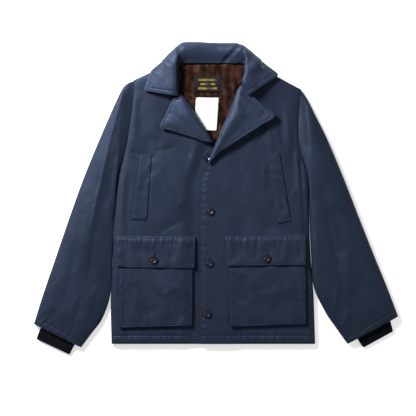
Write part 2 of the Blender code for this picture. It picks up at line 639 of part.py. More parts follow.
def make_sleeve(name, table, column, material):
    """A sleeve pressed flat, with the narrow hollow of a padded tube."""
    across, up, above = flat_ring(13, SLEEVE_ROUNDNESS)
    clear = -ARMHOLE_GAP if column == "right_x" else ARMHOLE_GAP
    first_under = np.array([table[0].under_x, table[0].under_y])
    first_over = np.array([table[0].over_x, table[0].over_y])
    outer = []
    inner = []
    rows = rows_between(table, 15)
    underarm_slopes = np.gradient(rows[:, :2], axis=0)
    for i, (row, (slope_x, slope_y)) in enumerate(zip(rows, underarm_slopes)):
        section = SleeveSection(*row)
        under = np.array([section.under_x, section.under_y])
        over = np.array([section.over_x, section.over_y])
        width = float(np.linalg.norm(over - under))
        step_x, step_y = (over - under) / width
        slant = abs(step_x * slope_y - step_y * slope_x) / math.hypot(slope_x, slope_y)
        for rings, wall_here in ((outer, 0.0), (inner, section.wall)):
            inset = (wall_here + 0.002) / width if wall_here else 0.0
            share = inset + (across + 1) / 2 * (1 - 2 * inset)
            place = under + share[:, None] * (over - under)
            chord = first_under + share[:, None] * (first_over - first_under)
            place[:, 0] += section.follow * (side_x(chord[:, 1], column) + clear - chord[:, 0])
            if i:
                alongside = (1 - smoothstep(0.3, 0.7, slant)) * (1 - smoothstep(0.0, 0.5, share))
                place[:, 0] += math.copysign(wall_here, under[0]) * alongside * min(1.0, i / 2)
            crown = section.crown * (1 - section.sunk * (1 - share) ** 2)
            if wall_here:
                half_slit = np.maximum(crown / 2 - wall_here, 0.0008)
                height = crown / 2 + np.where(above, 1, -1) * half_slit * up
            else:
                top = EDGE_RISE + (crown - EDGE_RISE) * up
                top = top + fold_height(SLEEVE_FOLDS, place[:, 0], place[:, 1]) * up
                height = np.where(above, top, EDGE_RISE * (1 - np.minimum(1.0, up * 1.9)))
            rings.append(np.column_stack([place, height]))
    tube(name, np.array(outer), np.array(inner), material)


def make_cuff(name, table, material):
    """A rib-knit cuff pressed flat, partly inside the sleeve."""
    across, up, above = flat_ring(8, SLEEVE_ROUNDNESS)
    up = np.where(above, up, -up)
    stations = rows_between(table, 7)
    outer = np.zeros((len(stations), len(across), 3))
    inner = np.zeros_like(outer)
    for i, row in enumerate(stations):
        section = CuffSection(*row)
        under = np.array([section.under_x, section.under_y])
        over = np.array([section.over_x, section.over_y])
        half = (over - under) / 2
        width = float(np.linalg.norm(half))
        for ring, inset in ((outer, 0.0), (inner, CUFF_WALL)):
            share = across * (1 - 1.4 * inset / width)
            ring[i, :, :2] = (under + over) / 2 + share[:, None] * half
            ring[i, :, 2] = section.middle_z + up * (section.thick / 2 - inset)
    tube(name, outer, inner, material)


def patch_plan(patch, rows, columns, crowd):
    """Points inside four corners, rows from the top edge down."""
    corners = np.array([(patch.x0, patch.y0), (patch.x1, patch.y1), (patch.x2, patch.y2), (patch.x3, patch.y3)])
    down = crowded(rows, crowd)[:, None, None]
    across = crowded(columns, crowd)[None, :, None]
    top = corners[0] + across * (corners[1] - corners[0])
    bottom = corners[3] + across * (corners[2] - corners[3])
    return top + down * (bottom - top)


def rim_share(rows, columns, crowd, patch):
    """For a patch, the distance of each point from its sides and its lower edge."""
    plan = patch_plan(patch, rows, columns, crowd)
    right = np.linalg.norm(plan - plan[:, :1], axis=-1)
    left = np.linalg.norm(plan - plan[:, -1:], axis=-1)
    bottom = np.linalg.norm(plan - plan[-1:], axis=-1)
    return plan, np.minimum(np.minimum(right, left), bottom)


def pocket_stand(plan, patch):
    """How far a pocket's front stands off the panel."""
    top = np.linalg.norm(plan - plan[:1], axis=-1)
    fullness = smoothstep(0.0, 0.120, top)
    return 0.0026 + (POCKET_STANDS_OFF - 0.0026) * fullness


def make_pocket(name, patch, material):
    """A bellows pocket: its front, and the gusset that folds down to the panel on three sides."""
    rows, columns = 12, 12
    plan, from_rim = rim_share(rows, columns, 0.75, patch)
    stand = pocket_stand(plan, patch)
    face = with_heights(plan, outside)
    outer = face + np.array([0, 0, 1]) * (stand + POCKET_WALL)[..., None]
    rim = (from_rim < 0.0022)[..., None]
    under = np.where(rim, LAID_ON_GAP, stand[..., None])
    wall(name, outer, face + np.array([0, 0, 1]) * under, material)


def make_flap(name, patch, material):
    """A pocket flap, sewn to the panel above the pocket and lying on it."""
    rows, columns = 7, 10
    plan = patch_plan(patch, rows, columns, 0.5)
    face = with_heights(plan, outside)
    top = np.linalg.norm(plan - plan[:1], axis=-1)
    over_pocket = 0.0026 + POCKET_WALL + 0.0016
    stand = LAID_ON_GAP + over_pocket * smoothstep(0.000, 0.010, top) + 0.0016 * smoothstep(0.03, 0.075, top)
    inner = face + np.array([0, 0, 1]) * stand[..., None]
    wall(name, inner + np.array([0, 0, FLAP_WALL]), inner, material)


def make_laid_on(name, plan, height, thickness, material):
    """A small flat piece on a panel, from the panel's points moved out."""
    face = with_heights(plan, height) + np.array([0, 0, LAID_ON_GAP])
    wall(name, face + np.array([0, 0, thickness]), face, material)


def make_care_label(material):
    """The lower neck label, as far as the right front leaves it in sight."""
    plan = patch_plan(LABEL_CARE, 7, 4, 0.0)
    shown_from = roll_x(plan[:, :1, 1], "right_x") - 0.002
    right = np.maximum(plan[:, :1, 0], shown_from)
    left = plan[:, -1:, 0]
    plan[..., 0] = right + (left - right) * np.linspace(0.0, 1.0, 4)
    make_laid_on("label_care", plan, lining_outside, LABEL_WALL, material)


def make_buttons(material):
    """Dished buttons with a raised rim and four holes."""
    radius = BUTTON_WIDTH / 2
    profile = [
        (0.0, 0.62),
        (0.50, 0.62),
        (0.66, 0.78),
        (0.78, 1.00),
        (0.92, 0.96),
        (1.00, 0.66),
        (0.96, 0.25),
        (0.80, 0.00),
        (0.0, 0.00),
    ]
    sides = 16
    for button in BUTTONS:
        seat = button_seat(button)
        shape = bmesh.new()
        line = [shape.verts.new((share * radius, 0, high * BUTTON_HEIGHT)) for share, high in profile]
        edges = [shape.edges.new(pair) for pair in zip(line, line[1:])]
        bmesh.ops.spin(
            shape,
            geom=line + edges,
            cent=(0, 0, 0),
            axis=(0, 0, 1),
            angle=math.tau,
            steps=sides,
            use_duplicate=False,
        )
        bmesh.ops.remove_doubles(shape, verts=shape.verts, dist=1e-5)
        bmesh.ops.recalc_face_normals(shape, faces=shape.faces)
        mesh = bpy.data.meshes.new(button.name)
        shape.to_mesh(mesh)
        shape.free()
        mesh.shade_smooth()
        mesh.set_sharp_from_angle(angle=math.radians(40))
        item = object_from(button.name, mesh, material)
        item.location = (button.x, button.y, seat)
        item.rotation_euler = (0, 0, math.radians(button.turned))
        cut_holes(item)


def button_seat(button):
    """The height of a button's underside, just clear of all the cloth below it."""
    angles = np.linspace(0, math.tau, 13)
    x = button.x + np.append(0, BUTTON_WIDTH / 2 * np.cos(angles))
    y = button.y + np.append(0, BUTTON_WIDTH / 2 * np.sin(angles))
    if button.carried_by == "under":
        return float(under_outside(x, y).max()) + GAP
    if button.carried_by == "over":
        return float(over_outside(x, y).max()) + GAP
    over_pocket = 0.0026 + POCKET_WALL + 0.0016 + 0.0016
    return float(outside(x, y).max()) + LAID_ON_GAP + over_pocket + FLAP_WALL + GAP


def cut_holes(item):
    """Four thread holes through a button."""
    for i in range(4):
        angle = math.radians(45 + 90 * i)
        bpy.ops.mesh.primitive_cylinder_add(
            vertices=6,
            radius=BUTTON_HOLE / 2,
            depth=4 * BUTTON_HEIGHT,
            location=(0, 0, 0),
        )
        cutter = bpy.context.active_object
        cutter.name = f"{item.name}_hole_{i}"
        cutter.parent = item
        reach = BUTTON_HOLE_SPACING / math.sqrt(2)
        cutter.location = (reach * math.cos(angle), reach * math.sin(angle), 0)
        cutter.hide_render = True
        cutter.display_type = "WIRE"
        hole = item.modifiers.new(f"hole_{i}", "BOOLEAN")
        hole.object = cutter
        hole.operation = "DIFFERENCE"


def main():
    for item in list(bpy.data.objects):
        bpy.data.objects.remove(item)
    cloth = cloth_material("navy_cotton", NAVY, 0.62)
    rib = cloth_material("navy_rib", NAVY_RIB, 0.85)
    pile = cloth_material("brown_pile", BROWN_PILE, 0.9)
    horn = cloth_material("button_horn", HORN, 0.18)
    woven = cloth_material("label_woven", WOVEN_NAVY, 0.6)
    tape = cloth_material("label_tape", WHITE_TAPE, 0.7)
    make_back(cloth)
    make_fronts(cloth)
    make_lining(pile)
    make_collar(cloth)
    make_lapel("lapel_right", LAPEL_RIGHT, cloth)
    make_lapel("lapel_left", LAPEL_LEFT, cloth)
    make_sleeve("sleeve_right", SLEEVE_RIGHT, "right_x", cloth)
    make_sleeve("sleeve_left", SLEEVE_LEFT, "left_x", cloth)
    make_cuff("cuff_right", CUFF_RIGHT, rib)
    make_cuff("cuff_left", CUFF_LEFT, rib)
    make_pocket("pocket_right", POCKET_RIGHT, cloth)
    make_pocket("pocket_left", POCKET_LEFT, cloth)
    make_flap("flap_right", FLAP_RIGHT, cloth)
    make_flap("flap_left", FLAP_LEFT, cloth)
    make_laid_on("welt_right", patch_plan(WELT_RIGHT, 9, 3, 0.0), outside, WELT_WALL, cloth)
    make_laid_on("welt_left", patch_plan(WELT_LEFT, 9, 3, 0.0), outside, WELT_WALL, cloth)
    make_laid_on("label_main", patch_plan(LABEL_MAIN, 4, 5, 0.0), lining_outside, LABEL_WALL, woven)
    make_care_label(tape)
    make_buttons(horn)


main()
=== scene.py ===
"""The looks of a padded navy cotton jacket, buttoned and laid flat on its back.

Metres, +Z up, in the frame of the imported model: the jacket lies on the plane z = 0 with its
collar towards +Y, and the wearer's right is at -X. The tables of places repeat the part's own.
Each cloth piece is a fine closed shell on the form of its solid, with the creases, seam grooves
and puckers of the real one.
"""

import json
import math
from collections import namedtuple

import bmesh
import bpy
import numpy as np
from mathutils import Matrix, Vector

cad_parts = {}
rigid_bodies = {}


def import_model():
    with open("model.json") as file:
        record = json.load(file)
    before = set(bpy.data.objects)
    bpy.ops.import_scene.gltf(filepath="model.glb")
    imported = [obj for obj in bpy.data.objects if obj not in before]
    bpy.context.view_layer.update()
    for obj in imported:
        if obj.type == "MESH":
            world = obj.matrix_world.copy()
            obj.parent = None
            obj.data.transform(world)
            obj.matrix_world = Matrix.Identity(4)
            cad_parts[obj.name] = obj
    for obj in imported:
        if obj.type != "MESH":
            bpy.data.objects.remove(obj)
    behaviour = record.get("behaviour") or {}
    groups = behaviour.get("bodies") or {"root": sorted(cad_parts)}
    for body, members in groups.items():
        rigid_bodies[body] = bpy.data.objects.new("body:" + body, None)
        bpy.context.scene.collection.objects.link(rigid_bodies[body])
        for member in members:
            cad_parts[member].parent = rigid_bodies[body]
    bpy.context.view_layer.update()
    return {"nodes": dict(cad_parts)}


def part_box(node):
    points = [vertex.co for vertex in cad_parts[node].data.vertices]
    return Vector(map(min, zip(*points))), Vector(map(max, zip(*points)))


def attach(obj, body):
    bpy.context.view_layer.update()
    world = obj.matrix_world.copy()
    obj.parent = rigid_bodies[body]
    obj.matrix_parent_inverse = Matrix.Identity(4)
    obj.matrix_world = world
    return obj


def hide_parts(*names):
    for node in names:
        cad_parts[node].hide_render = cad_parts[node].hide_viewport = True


# The camera: straight above the jacket
CAMERA_X = -0.0199
CAMERA_Y = -0.0225
CAMERA_HEIGHT = 4.0
VIEW_WIDTH = 1.036
VIEW_LEVEL = 0.018

# Driving sizes of the cloth
GAP = 0.0004
LAID_ON_GAP = 0.0008
ARMHOLE_GAP = 0.0003
BACK_WALL = 0.0058
FRONT_WALL = 0.0096
SEAM_WALL = 0.0032
LINING_WALL = 0.0040
COLLAR_WALL = 0.0042
LAPEL_WALL = 0.0034
UNDER_STAND_WALL = 0.0040
OVER_STAND_WALL = 0.0062
CUFF_WALL = 0.0022
WELT_WALL = 0.0022
FLAP_WALL = 0.0024
POCKET_WALL = 0.0020
LABEL_WALL = 0.0009

# Driving sizes of the garment
HEM_Y = -0.3615
POCKET_TOP = 0.0026
SIDE_ROUND = 0.020
SHOULDER_ROUND = 0.016
NECK_LIFT = 0.0058
BUTTON_HEIGHT = 0.0042
BUTTON_HOLE_SPACING = 0.0044

# The body's outline, hem to shoulder, on each side
Outline = namedtuple("Outline", "y right_x left_x")
BODY_OUTLINE = [
    Outline(-0.3615, -0.2606, 0.2475),
    Outline(-0.3020, -0.2620, 0.2456),
    Outline(-0.2450, -0.2624, 0.2436),
    Outline(-0.1770, -0.2590, 0.2385),
    Outline(-0.0900, -0.2552, 0.2335),
    Outline(-0.0200, -0.2520, 0.2322),
    Outline(0.0350, -0.2480, 0.2316),
    Outline(0.0620, -0.2420, 0.2280),
    Outline(0.0880, -0.2345, 0.2200),
    Outline(0.1150, -0.2276, 0.2115),
    Outline(0.1450, -0.2215, 0.2060),
    Outline(0.1850, -0.2160, 0.2045),
    Outline(0.2230, -0.2106, 0.2072),
    Outline(0.2600, -0.2066, 0.2108),
    Outline(0.2980, -0.2044, 0.2122),
]
ARMPIT_Y = 0.040
SHOULDER_RIGHT_Y = 0.2965
SHOULDER_LEFT_Y = 0.2740

# The shoulder and back neck line, from one armhole to the other
TopLine = namedtuple("TopLine", "x y")
TOP_LINE = [
    TopLine(-0.2300, 0.2840),
    TopLine(-0.2044, 0.2965),
    TopLine(-0.1600, 0.3165),
    TopLine(-0.0995, 0.3440),
    TopLine(-0.0600, 0.3380),
    TopLine(-0.0100, 0.3365),
    TopLine(0.0400, 0.3370),
    TopLine(0.0835, 0.3400),
    TopLine(0.1674, 0.2970),
    TopLine(0.2122, 0.2740),
    TopLine(0.2300, 0.2640),
]

# Where the fronts roll open, seen from above
RollLine = namedtuple("RollLine", "y right_x left_x")
ROLL_LINE = [
    RollLine(0.1300, 0.0020, -0.0055),
    RollLine(0.1430, -0.0060, 0.0000),
    RollLine(0.1710, -0.0240, 0.0125),
    RollLine(0.1980, -0.0415, 0.0244),
    RollLine(0.2350, -0.0656, 0.0394),
    RollLine(0.2680, -0.0900, 0.0500),
    RollLine(0.2850, -0.0940, 0.0560),
    RollLine(0.3060, -0.0945, 0.0730),
    RollLine(0.3400, -0.0945, 0.0760),
]

# Sections of the fronts, from the side to the edge that closes or rolls
FrontSection = namedtuple("FrontSection", "side_y edge_x edge_y rolled")
UNDER_FRONT = [
    FrontSection(-0.3615, 0.0080, -0.3615, 0.0),
    FrontSection(-0.2600, 0.0080, -0.2600, 0.0),
    FrontSection(-0.1500, 0.0080, -0.1500, 0.0),
    FrontSection(-0.0500, 0.0080, -0.0500, 0.0),
    FrontSection(0.0300, 0.0080, 0.0450, 0.0),
    FrontSection(0.0800, 0.0070, 0.1050, 0.0),
    FrontSection(0.1150, -0.0060, 0.1430, 1.0),
    FrontSection(0.1550, -0.0380, 0.1930, 1.0),
    FrontSection(0.1950, -0.0656, 0.2350, 1.0),
    FrontSection(0.2350, -0.0900, 0.2680, 1.0),
    FrontSection(0.2680, -0.0995, 0.3060, 0.2),
    FrontSection(0.2965, -0.1000, 0.3440, 0.0),
]
OVER_FRONT = [
    FrontSection(-0.3615, -0.0380, -0.3615, 0.0),
    FrontSection(-0.2600, -0.0380, -0.2600, 0.0),
    FrontSection(-0.1500, -0.0380, -0.1500, 0.0),
    FrontSection(-0.0600, -0.0378, -0.0600, 0.0),
    FrontSection(0.0100, -0.0374, 0.0100, 0.0),
    FrontSection(0.0420, -0.0345, 0.0450, 0.0),
    FrontSection(0.0740, -0.0235, 0.0770, 0.5),
    FrontSection(0.1050, -0.0100, 0.1170, 1.0),
    FrontSection(0.1400, 0.0160, 0.1790, 1.0),
    FrontSection(0.1780, 0.0394, 0.2350, 1.0),
    FrontSection(0.2150, 0.0544, 0.2800, 1.0),
    FrontSection(0.2480, 0.0800, 0.3060, 0.3),
    FrontSection(0.2740, 0.0850, 0.3395, 0.0),
]
ROLL_INSET = 0.0060

# Where each lapel folds, where its edge lies, and how high both are
LapelSection = namedtuple("LapelSection", "roll_x roll_y edge_x edge_y low_z roll_z edge_z")
LAPEL_RIGHT = [
    LapelSection(-0.0060, 0.1400, -0.0320, 0.1440, 0.0185, 0.0262, 0.0225),
    LapelSection(-0.0150, 0.1545, -0.0520, 0.1515, 0.0188, 0.0270, 0.0230),
    LapelSection(-0.0265, 0.1745, -0.0840, 0.1615, 0.0188, 0.0282, 0.0240),
    LapelSection(-0.0385, 0.1930, -0.1130, 0.1705, 0.0188, 0.0300, 0.0252),
    LapelSection(-0.0500, 0.2110, -0.1388, 0.1787, 0.0188, 0.0308, 0.0258),
    LapelSection(-0.0645, 0.2330, -0.1270, 0.2060, 0.0200, 0.0308, 0.0250),
    LapelSection(-0.0760, 0.2480, -0.1150, 0.2330, 0.0216, 0.0302, 0.0252),
    LapelSection(-0.0850, 0.2590, -0.1050, 0.2510, 0.0226, 0.0290, 0.0262),
]
LAPEL_LEFT = [
    LapelSection(-0.0210, 0.0890, -0.0150, 0.0900, 0.0188, 0.0240, 0.0236),
    LapelSection(-0.0180, 0.0960, -0.0050, 0.1020, 0.0189, 0.0264, 0.0256),
    LapelSection(-0.0120, 0.1120, 0.0100, 0.1160, 0.0189, 0.0285, 0.0268),
    LapelSection(-0.0035, 0.1330, 0.0340, 0.1322, 0.0194, 0.0304, 0.0288),
    LapelSection(0.0095, 0.1640, 0.0740, 0.1580, 0.0190, 0.0320, 0.0305),
    LapelSection(0.0220, 0.1930, 0.1150, 0.1845, 0.0188, 0.0328, 0.0318),
    LapelSection(0.0320, 0.2170, 0.1469, 0.2056, 0.0194, 0.0330, 0.0310),
    LapelSection(0.0430, 0.2450, 0.1200, 0.2300, 0.0216, 0.0326, 0.0288),
    LapelSection(0.0530, 0.2720, 0.0890, 0.2570, 0.0240, 0.0310, 0.0280),
    LapelSection(0.0615, 0.2840, 0.0710, 0.2760, 0.0245, 0.0290, 0.0275),
]
NOSE = 0.0065

# Sections of the collar, from the neck seam over the roll to the outer edge. Distances out are
# along the direction that the section faces, in degrees from +X.
CollarSection = namedtuple(
    "CollarSection",
    "seam_x seam_y seam_z facing roll_out roll_z belly_out belly_z edge_out edge_z tuck",
)
COLLAR = [
    CollarSection(-0.0945, 0.2540, 0.0330, 170, 0.0060, 0.0372, 0.0450, 0.0330, 0.0860, 0.0255, 0.0),
    CollarSection(-0.0925, 0.2660, 0.0320, 171, 0.0070, 0.0380, 0.0445, 0.0338, 0.0850, 0.0250, 0.0),
    CollarSection(-0.0905, 0.2850, 0.0200, 170, 0.0082, 0.0395, 0.0435, 0.0345, 0.0800, 0.0240, 0.0),
    CollarSection(-0.0905, 0.3010, 0.0180, 166, 0.0088, 0.0405, 0.0430, 0.0350, 0.0735, 0.0225, 0.0),
    CollarSection(-0.0905, 0.3150, 0.0180, 160, 0.0095, 0.0405, 0.0420, 0.0330, 0.0565, 0.0190, 0.10),
    CollarSection(-0.0905, 0.3215, 0.0181, 152, 0.0105, 0.0405, 0.0478, 0.0240, 0.0480, 0.0085, 0.50),
    CollarSection(-0.0905, 0.3270, 0.0182, 145, 0.0120, 0.0400, 0.0423, 0.0200, 0.0350, 0.0026, 1.0),
    CollarSection(-0.0850, 0.3380, 0.0178, 125, 0.0170, 0.0385, 0.0381, 0.0170, 0.0180, 0.0026, 1.0),
    CollarSection(-0.0700, 0.3385, 0.0172, 108, 0.0430, 0.0300, 0.0535, 0.0150, -0.0180, 0.0026, 1.0),
    CollarSection(-0.0350, 0.3385, 0.0168, 91, 0.0390, 0.0250, 0.0510, 0.0140, -0.0200, 0.0026, 1.0),
    CollarSection(-0.0050, 0.3385, 0.0168, 90, 0.0360, 0.0240, 0.0495, 0.0140, -0.0200, 0.0026, 1.0),
    CollarSection(0.0260, 0.3385, 0.0168, 89, 0.0360, 0.0250, 0.0490, 0.0140, -0.0200, 0.0026, 1.0),
    CollarSection(0.0540, 0.3385, 0.0172, 79, 0.0390, 0.0310, 0.0486, 0.0150, -0.0190, 0.0026, 1.0),
    CollarSection(0.0650, 0.3385, 0.0175, 72, 0.0250, 0.0365, 0.0380, 0.0170, 0.0170, 0.0026, 1.0),
    CollarSection(0.0735, 0.3360, 0.0180, 45, 0.0010, 0.0380, 0.0314, 0.0190, 0.0230, 0.0026, 1.0),
    CollarSection(0.0740, 0.3230, 0.0182, 30, -0.0015, 0.0392, 0.0435, 0.0240, 0.0440, 0.0085, 0.50),
    CollarSection(0.0740, 0.3110, 0.0182, 20, -0.0025, 0.0395, 0.0400, 0.0330, 0.0574, 0.0190, 0.1),
    CollarSection(0.0680, 0.2930, 0.0260, 13, -0.0020, 0.0395, 0.0400, 0.0355, 0.0870, 0.0240, 0.0),
    CollarSection(0.0650, 0.2810, 0.0345, 18, 0.0030, 0.0400, 0.0420, 0.0360, 0.0925, 0.0250, 0.0),
    CollarSection(0.0730, 0.2670, 0.0350, 26, 0.0070, 0.0395, 0.0410, 0.0355, 0.0890, 0.0252, 0.0),
    CollarSection(0.0800, 0.2565, 0.0350, 34, 0.0080, 0.0390, 0.0400, 0.0350, 0.0865, 0.0255, 0.0),
]
HEEL_INSIDE = 0.0090

# Sections of the sleeves: where the underarm edge and the overarm edge lie, how closely the
# section follows the armhole's curve, the height of the crown, how far it has sunk at the
# underarm side, and the thickness of the wall
SleeveSection = namedtuple("SleeveSection", "under_x under_y over_x over_y follow crown sunk wall")
SLEEVE_RIGHT = [
    SleeveSection(-0.2484, 0.0350, -0.2050, 0.2955, 1.00, 0.0135, 0.00, 0.0042),
    SleeveSection(-0.2520, 0.0040, -0.2250, 0.2855, 0.45, 0.0195, 0.05, 0.0066),
    SleeveSection(-0.2534, -0.0320, -0.2420, 0.2600, 0.20, 0.0225, 0.12, 0.0082),
    SleeveSection(-0.2556, -0.0850, -0.2880, 0.1560, 0.10, 0.0230, 0.20, 0.0082),
    SleeveSection(-0.2585, -0.1550, -0.3315, 0.0500, 0.00, 0.0235, 0.30, 0.0082),
    SleeveSection(-0.2636, -0.2380, -0.3702, -0.0580, 0.00, 0.0240, 0.34, 0.0082),
    SleeveSection(-0.2834, -0.2980, -0.4037, -0.1560, 0.00, 0.0235, 0.22, 0.0078),
    SleeveSection(-0.3105, -0.3358, -0.4331, -0.2420, 0.00, 0.0220, 0.10, 0.0062),
    SleeveSection(-0.3365, -0.3705, -0.4549, -0.3120, 0.00, 0.0190, 0.00, 0.0046),
]
SLEEVE_LEFT = [
    SleeveSection(0.2324, 0.0350, 0.2128, 0.2730, 1.00, 0.0135, 0.00, 0.0042),
    SleeveSection(0.2330, 0.0060, 0.2290, 0.2490, 0.45, 0.0195, 0.00, 0.0066),
    SleeveSection(0.2330, -0.0280, 0.2480, 0.2110, 0.20, 0.0230, 0.00, 0.0082),
    SleeveSection(0.2341, -0.0780, 0.2800, 0.1460, 0.10, 0.0240, 0.00, 0.0082),
    SleeveSection(0.2376, -0.1450, 0.3195, 0.0520, 0.00, 0.0245, 0.00, 0.0082),
    SleeveSection(0.2436, -0.2180, 0.3583, -0.0480, 0.00, 0.0245, 0.04, 0.0082),
    SleeveSection(0.2722, -0.2818, 0.3964, -0.1440, 0.00, 0.0235, 0.06, 0.0078),
    SleeveSection(0.3000, -0.3230, 0.4285, -0.2230, 0.00, 0.0215, 0.04, 0.0062),
    SleeveSection(0.3280, -0.3620, 0.4551, -0.2930, 0.00, 0.0190, 0.00, 0.0046),
]
EDGE_RISE = 0.0075
SLEEVE_ROUNDNESS = 2.7

# Sections of the rib cuffs, from inside the sleeve to the free end
CuffSection = namedtuple("CuffSection", "under_x under_y over_x over_y middle_z thick")
CUFF_RIGHT = [
    CuffSection(-0.3380, -0.3300, -0.4190, -0.2870, 0.0100, 0.0080),
    CuffSection(-0.3520, -0.3620, -0.4365, -0.3195, 0.0096, 0.0058),
    CuffSection(-0.3590, -0.3755, -0.4430, -0.3340, 0.0070, 0.0064),
    CuffSection(-0.3655, -0.3890, -0.4490, -0.3500, 0.0048, 0.0062),
]
CUFF_LEFT = [
    CuffSection(0.3350, -0.3150, 0.4165, -0.2700, 0.0100, 0.0080),
    CuffSection(0.3520, -0.3470, 0.4340, -0.3020, 0.0096, 0.0058),
    CuffSection(0.3600, -0.3600, 0.4385, -0.3160, 0.0070, 0.0064),
    CuffSection(0.3680, -0.3715, 0.4430, -0.3305, 0.0048, 0.0062),
]

# What is sewn to the fronts: corners seen from above, the first one at the top towards -X
Patch = namedtuple("Patch", "x0 y0 x1 y1 x2 y2 x3 y3")
FLAP_RIGHT = Patch(-0.2470, -0.0915, -0.0520, -0.0930, -0.0540, -0.1725, -0.2478, -0.1690)
FLAP_LEFT = Patch(0.0225, -0.0920, 0.2235, -0.0890, 0.2240, -0.1640, 0.0280, -0.1670)
POCKET_RIGHT = Patch(-0.2440, -0.1050, -0.0575, -0.1060, -0.0600, -0.3150, -0.2405, -0.3200)
POCKET_LEFT = Patch(0.0300, -0.1050, 0.2210, -0.1030, 0.2235, -0.3110, 0.0355, -0.3175)
WELT_RIGHT = Patch(-0.1890, 0.1115, -0.1610, 0.1100, -0.1730, -0.0520, -0.2100, -0.0510)
WELT_LEFT = Patch(0.1290, 0.1140, 0.1580, 0.1150, 0.1856, -0.0535, 0.1544, -0.0620)
LABEL_MAIN = Patch(-0.0530, 0.3055, 0.0120, 0.3045, 0.0130, 0.2670, -0.0525, 0.2680)
LABEL_CARE = Patch(-0.0500, 0.2525, 0.0070, 0.2520, 0.0010, 0.1710, -0.0520, 0.1720)
POCKET_STANDS_OFF = 0.0062

Button = namedtuple("Button", "name x y turned carried_by")
BUTTONS = [
    Button("button_front_1", -0.0215, 0.1040, 20, "under"),
    Button("button_front_2", -0.0144, -0.0300, 55, "over"),
    Button("button_front_3", -0.0174, -0.1590, 15, "over"),
    Button("button_front_4", -0.0226, -0.2850, 70, "over"),
    Button("button_pocket_right", -0.1550, -0.1510, 40, "flap"),
    Button("button_pocket_left", 0.1254, -0.1470, 5, "flap"),
]


# Creases seen from above: a soft trough or ridge from one point to another. A skewed one is
# steeper on its right as one looks along it.
Fold = namedtuple("Fold", "x0 y0 x1 y1 half_width height skew", defaults=[0.0])
BODY_FOLDS = [
    Fold(-0.195, 0.085, -0.140, 0.150, 0.030, -0.0016),
    Fold(-0.130, 0.118, -0.060, 0.105, 0.026, -0.0014),
    Fold(-0.130, -0.078, -0.050, -0.045, 0.024, -0.0012),
    Fold(-0.170, 0.060, -0.090, -0.030, 0.036, 0.0014),
    Fold(0.060, -0.050, 0.150, -0.075, 0.028, -0.0012),
    Fold(0.100, 0.060, 0.050, -0.020, 0.036, 0.0014),
    Fold(0.185, 0.250, 0.192, 0.130, 0.024, 0.0014),
]
FINE_BODY_FOLDS = [
    Fold(-0.215, 0.118, -0.150, 0.098, 0.008, -0.0012, 0.4),
    Fold(-0.150, 0.122, -0.104, 0.128, 0.007, -0.0011, -0.4),
    Fold(-0.104, 0.140, -0.062, 0.108, 0.009, -0.0011, 0.3),
    Fold(-0.160, 0.076, -0.192, 0.012, 0.007, -0.0009, 0.3),
    Fold(-0.142, 0.075, -0.116, 0.020, 0.010, 0.0007),
    Fold(-0.142, -0.084, -0.082, -0.056, 0.006, -0.0010, 0.4),
    Fold(-0.090, -0.030, -0.042, -0.010, 0.009, -0.0007),
    Fold(-0.118, 0.040, -0.060, -0.012, 0.010, 0.0007),
    Fold(-0.205, -0.030, -0.222, -0.085, 0.008, -0.0009, 0.3),
    Fold(-0.196, -0.060, -0.186, -0.090, 0.006, 0.0007),
    Fold(-0.228, 0.060, -0.236, -0.060, 0.006, 0.0011, -0.3),
    Fold(-0.215, 0.060, -0.223, -0.080, 0.006, -0.0009),
    Fold(-0.205, 0.262, -0.210, 0.150, 0.008, 0.0016, 0.4),
    Fold(-0.186, 0.250, -0.190, 0.160, 0.012, -0.0010),
    Fold(-0.150, 0.212, -0.160, 0.150, 0.010, 0.0006),
    Fold(0.2095, 0.105, 0.2150, 0.022, 0.0045, -0.0026, 0.2),
    Fold(0.2150, 0.022, 0.2210, -0.080, 0.0045, -0.0020, 0.2),
    Fold(0.2010, 0.120, 0.2060, 0.020, 0.0050, 0.0012),
    Fold(0.122, 0.054, 0.172, 0.018, 0.007, -0.0015, 0.4),
    Fold(0.130, 0.066, 0.168, 0.050, 0.006, -0.0010, 0.3),
    Fold(0.118, 0.082, 0.124, 0.028, 0.006, 0.0009),
    Fold(0.168, 0.010, 0.182, -0.040, 0.006, 0.0009, 0.3),
    Fold(0.190, 0.030, 0.176, 0.000, 0.005, -0.0008),
    Fold(0.108, 0.205, 0.112, 0.140, 0.008, -0.0010, 0.3),
    Fold(0.130, 0.190, 0.140, 0.128, 0.007, 0.0010, -0.3),
    Fold(0.158, 0.208, 0.166, 0.132, 0.007, -0.0010, 0.3),
    Fold(0.176, 0.222, 0.182, 0.140, 0.006, 0.0009),
    Fold(0.194, 0.180, 0.190, 0.110, 0.006, -0.0011, 0.3),
    Fold(-0.010, 0.080, 0.012, 0.020, 0.010, -0.0008, 0.2),
    Fold(0.030, 0.096, 0.058, 0.052, 0.012, 0.0007),
    Fold(0.006, -0.042, 0.048, -0.070, 0.008, -0.0008, 0.3),
    Fold(0.004, -0.020, 0.090, -0.038, 0.012, -0.0007),
    Fold(0.090, -0.062, 0.190, -0.078, 0.007, -0.0009, -0.3),
    Fold(0.002, -0.150, 0.014, -0.235, 0.010, 0.0009),
    Fold(-0.046, -0.120, -0.050, -0.300, 0.006, -0.0008),
    Fold(-0.030, -0.110, -0.006, -0.140, 0.008, -0.0006),
    Fold(0.010, -0.300, 0.030, -0.345, 0.008, -0.0009, 0.3),
]
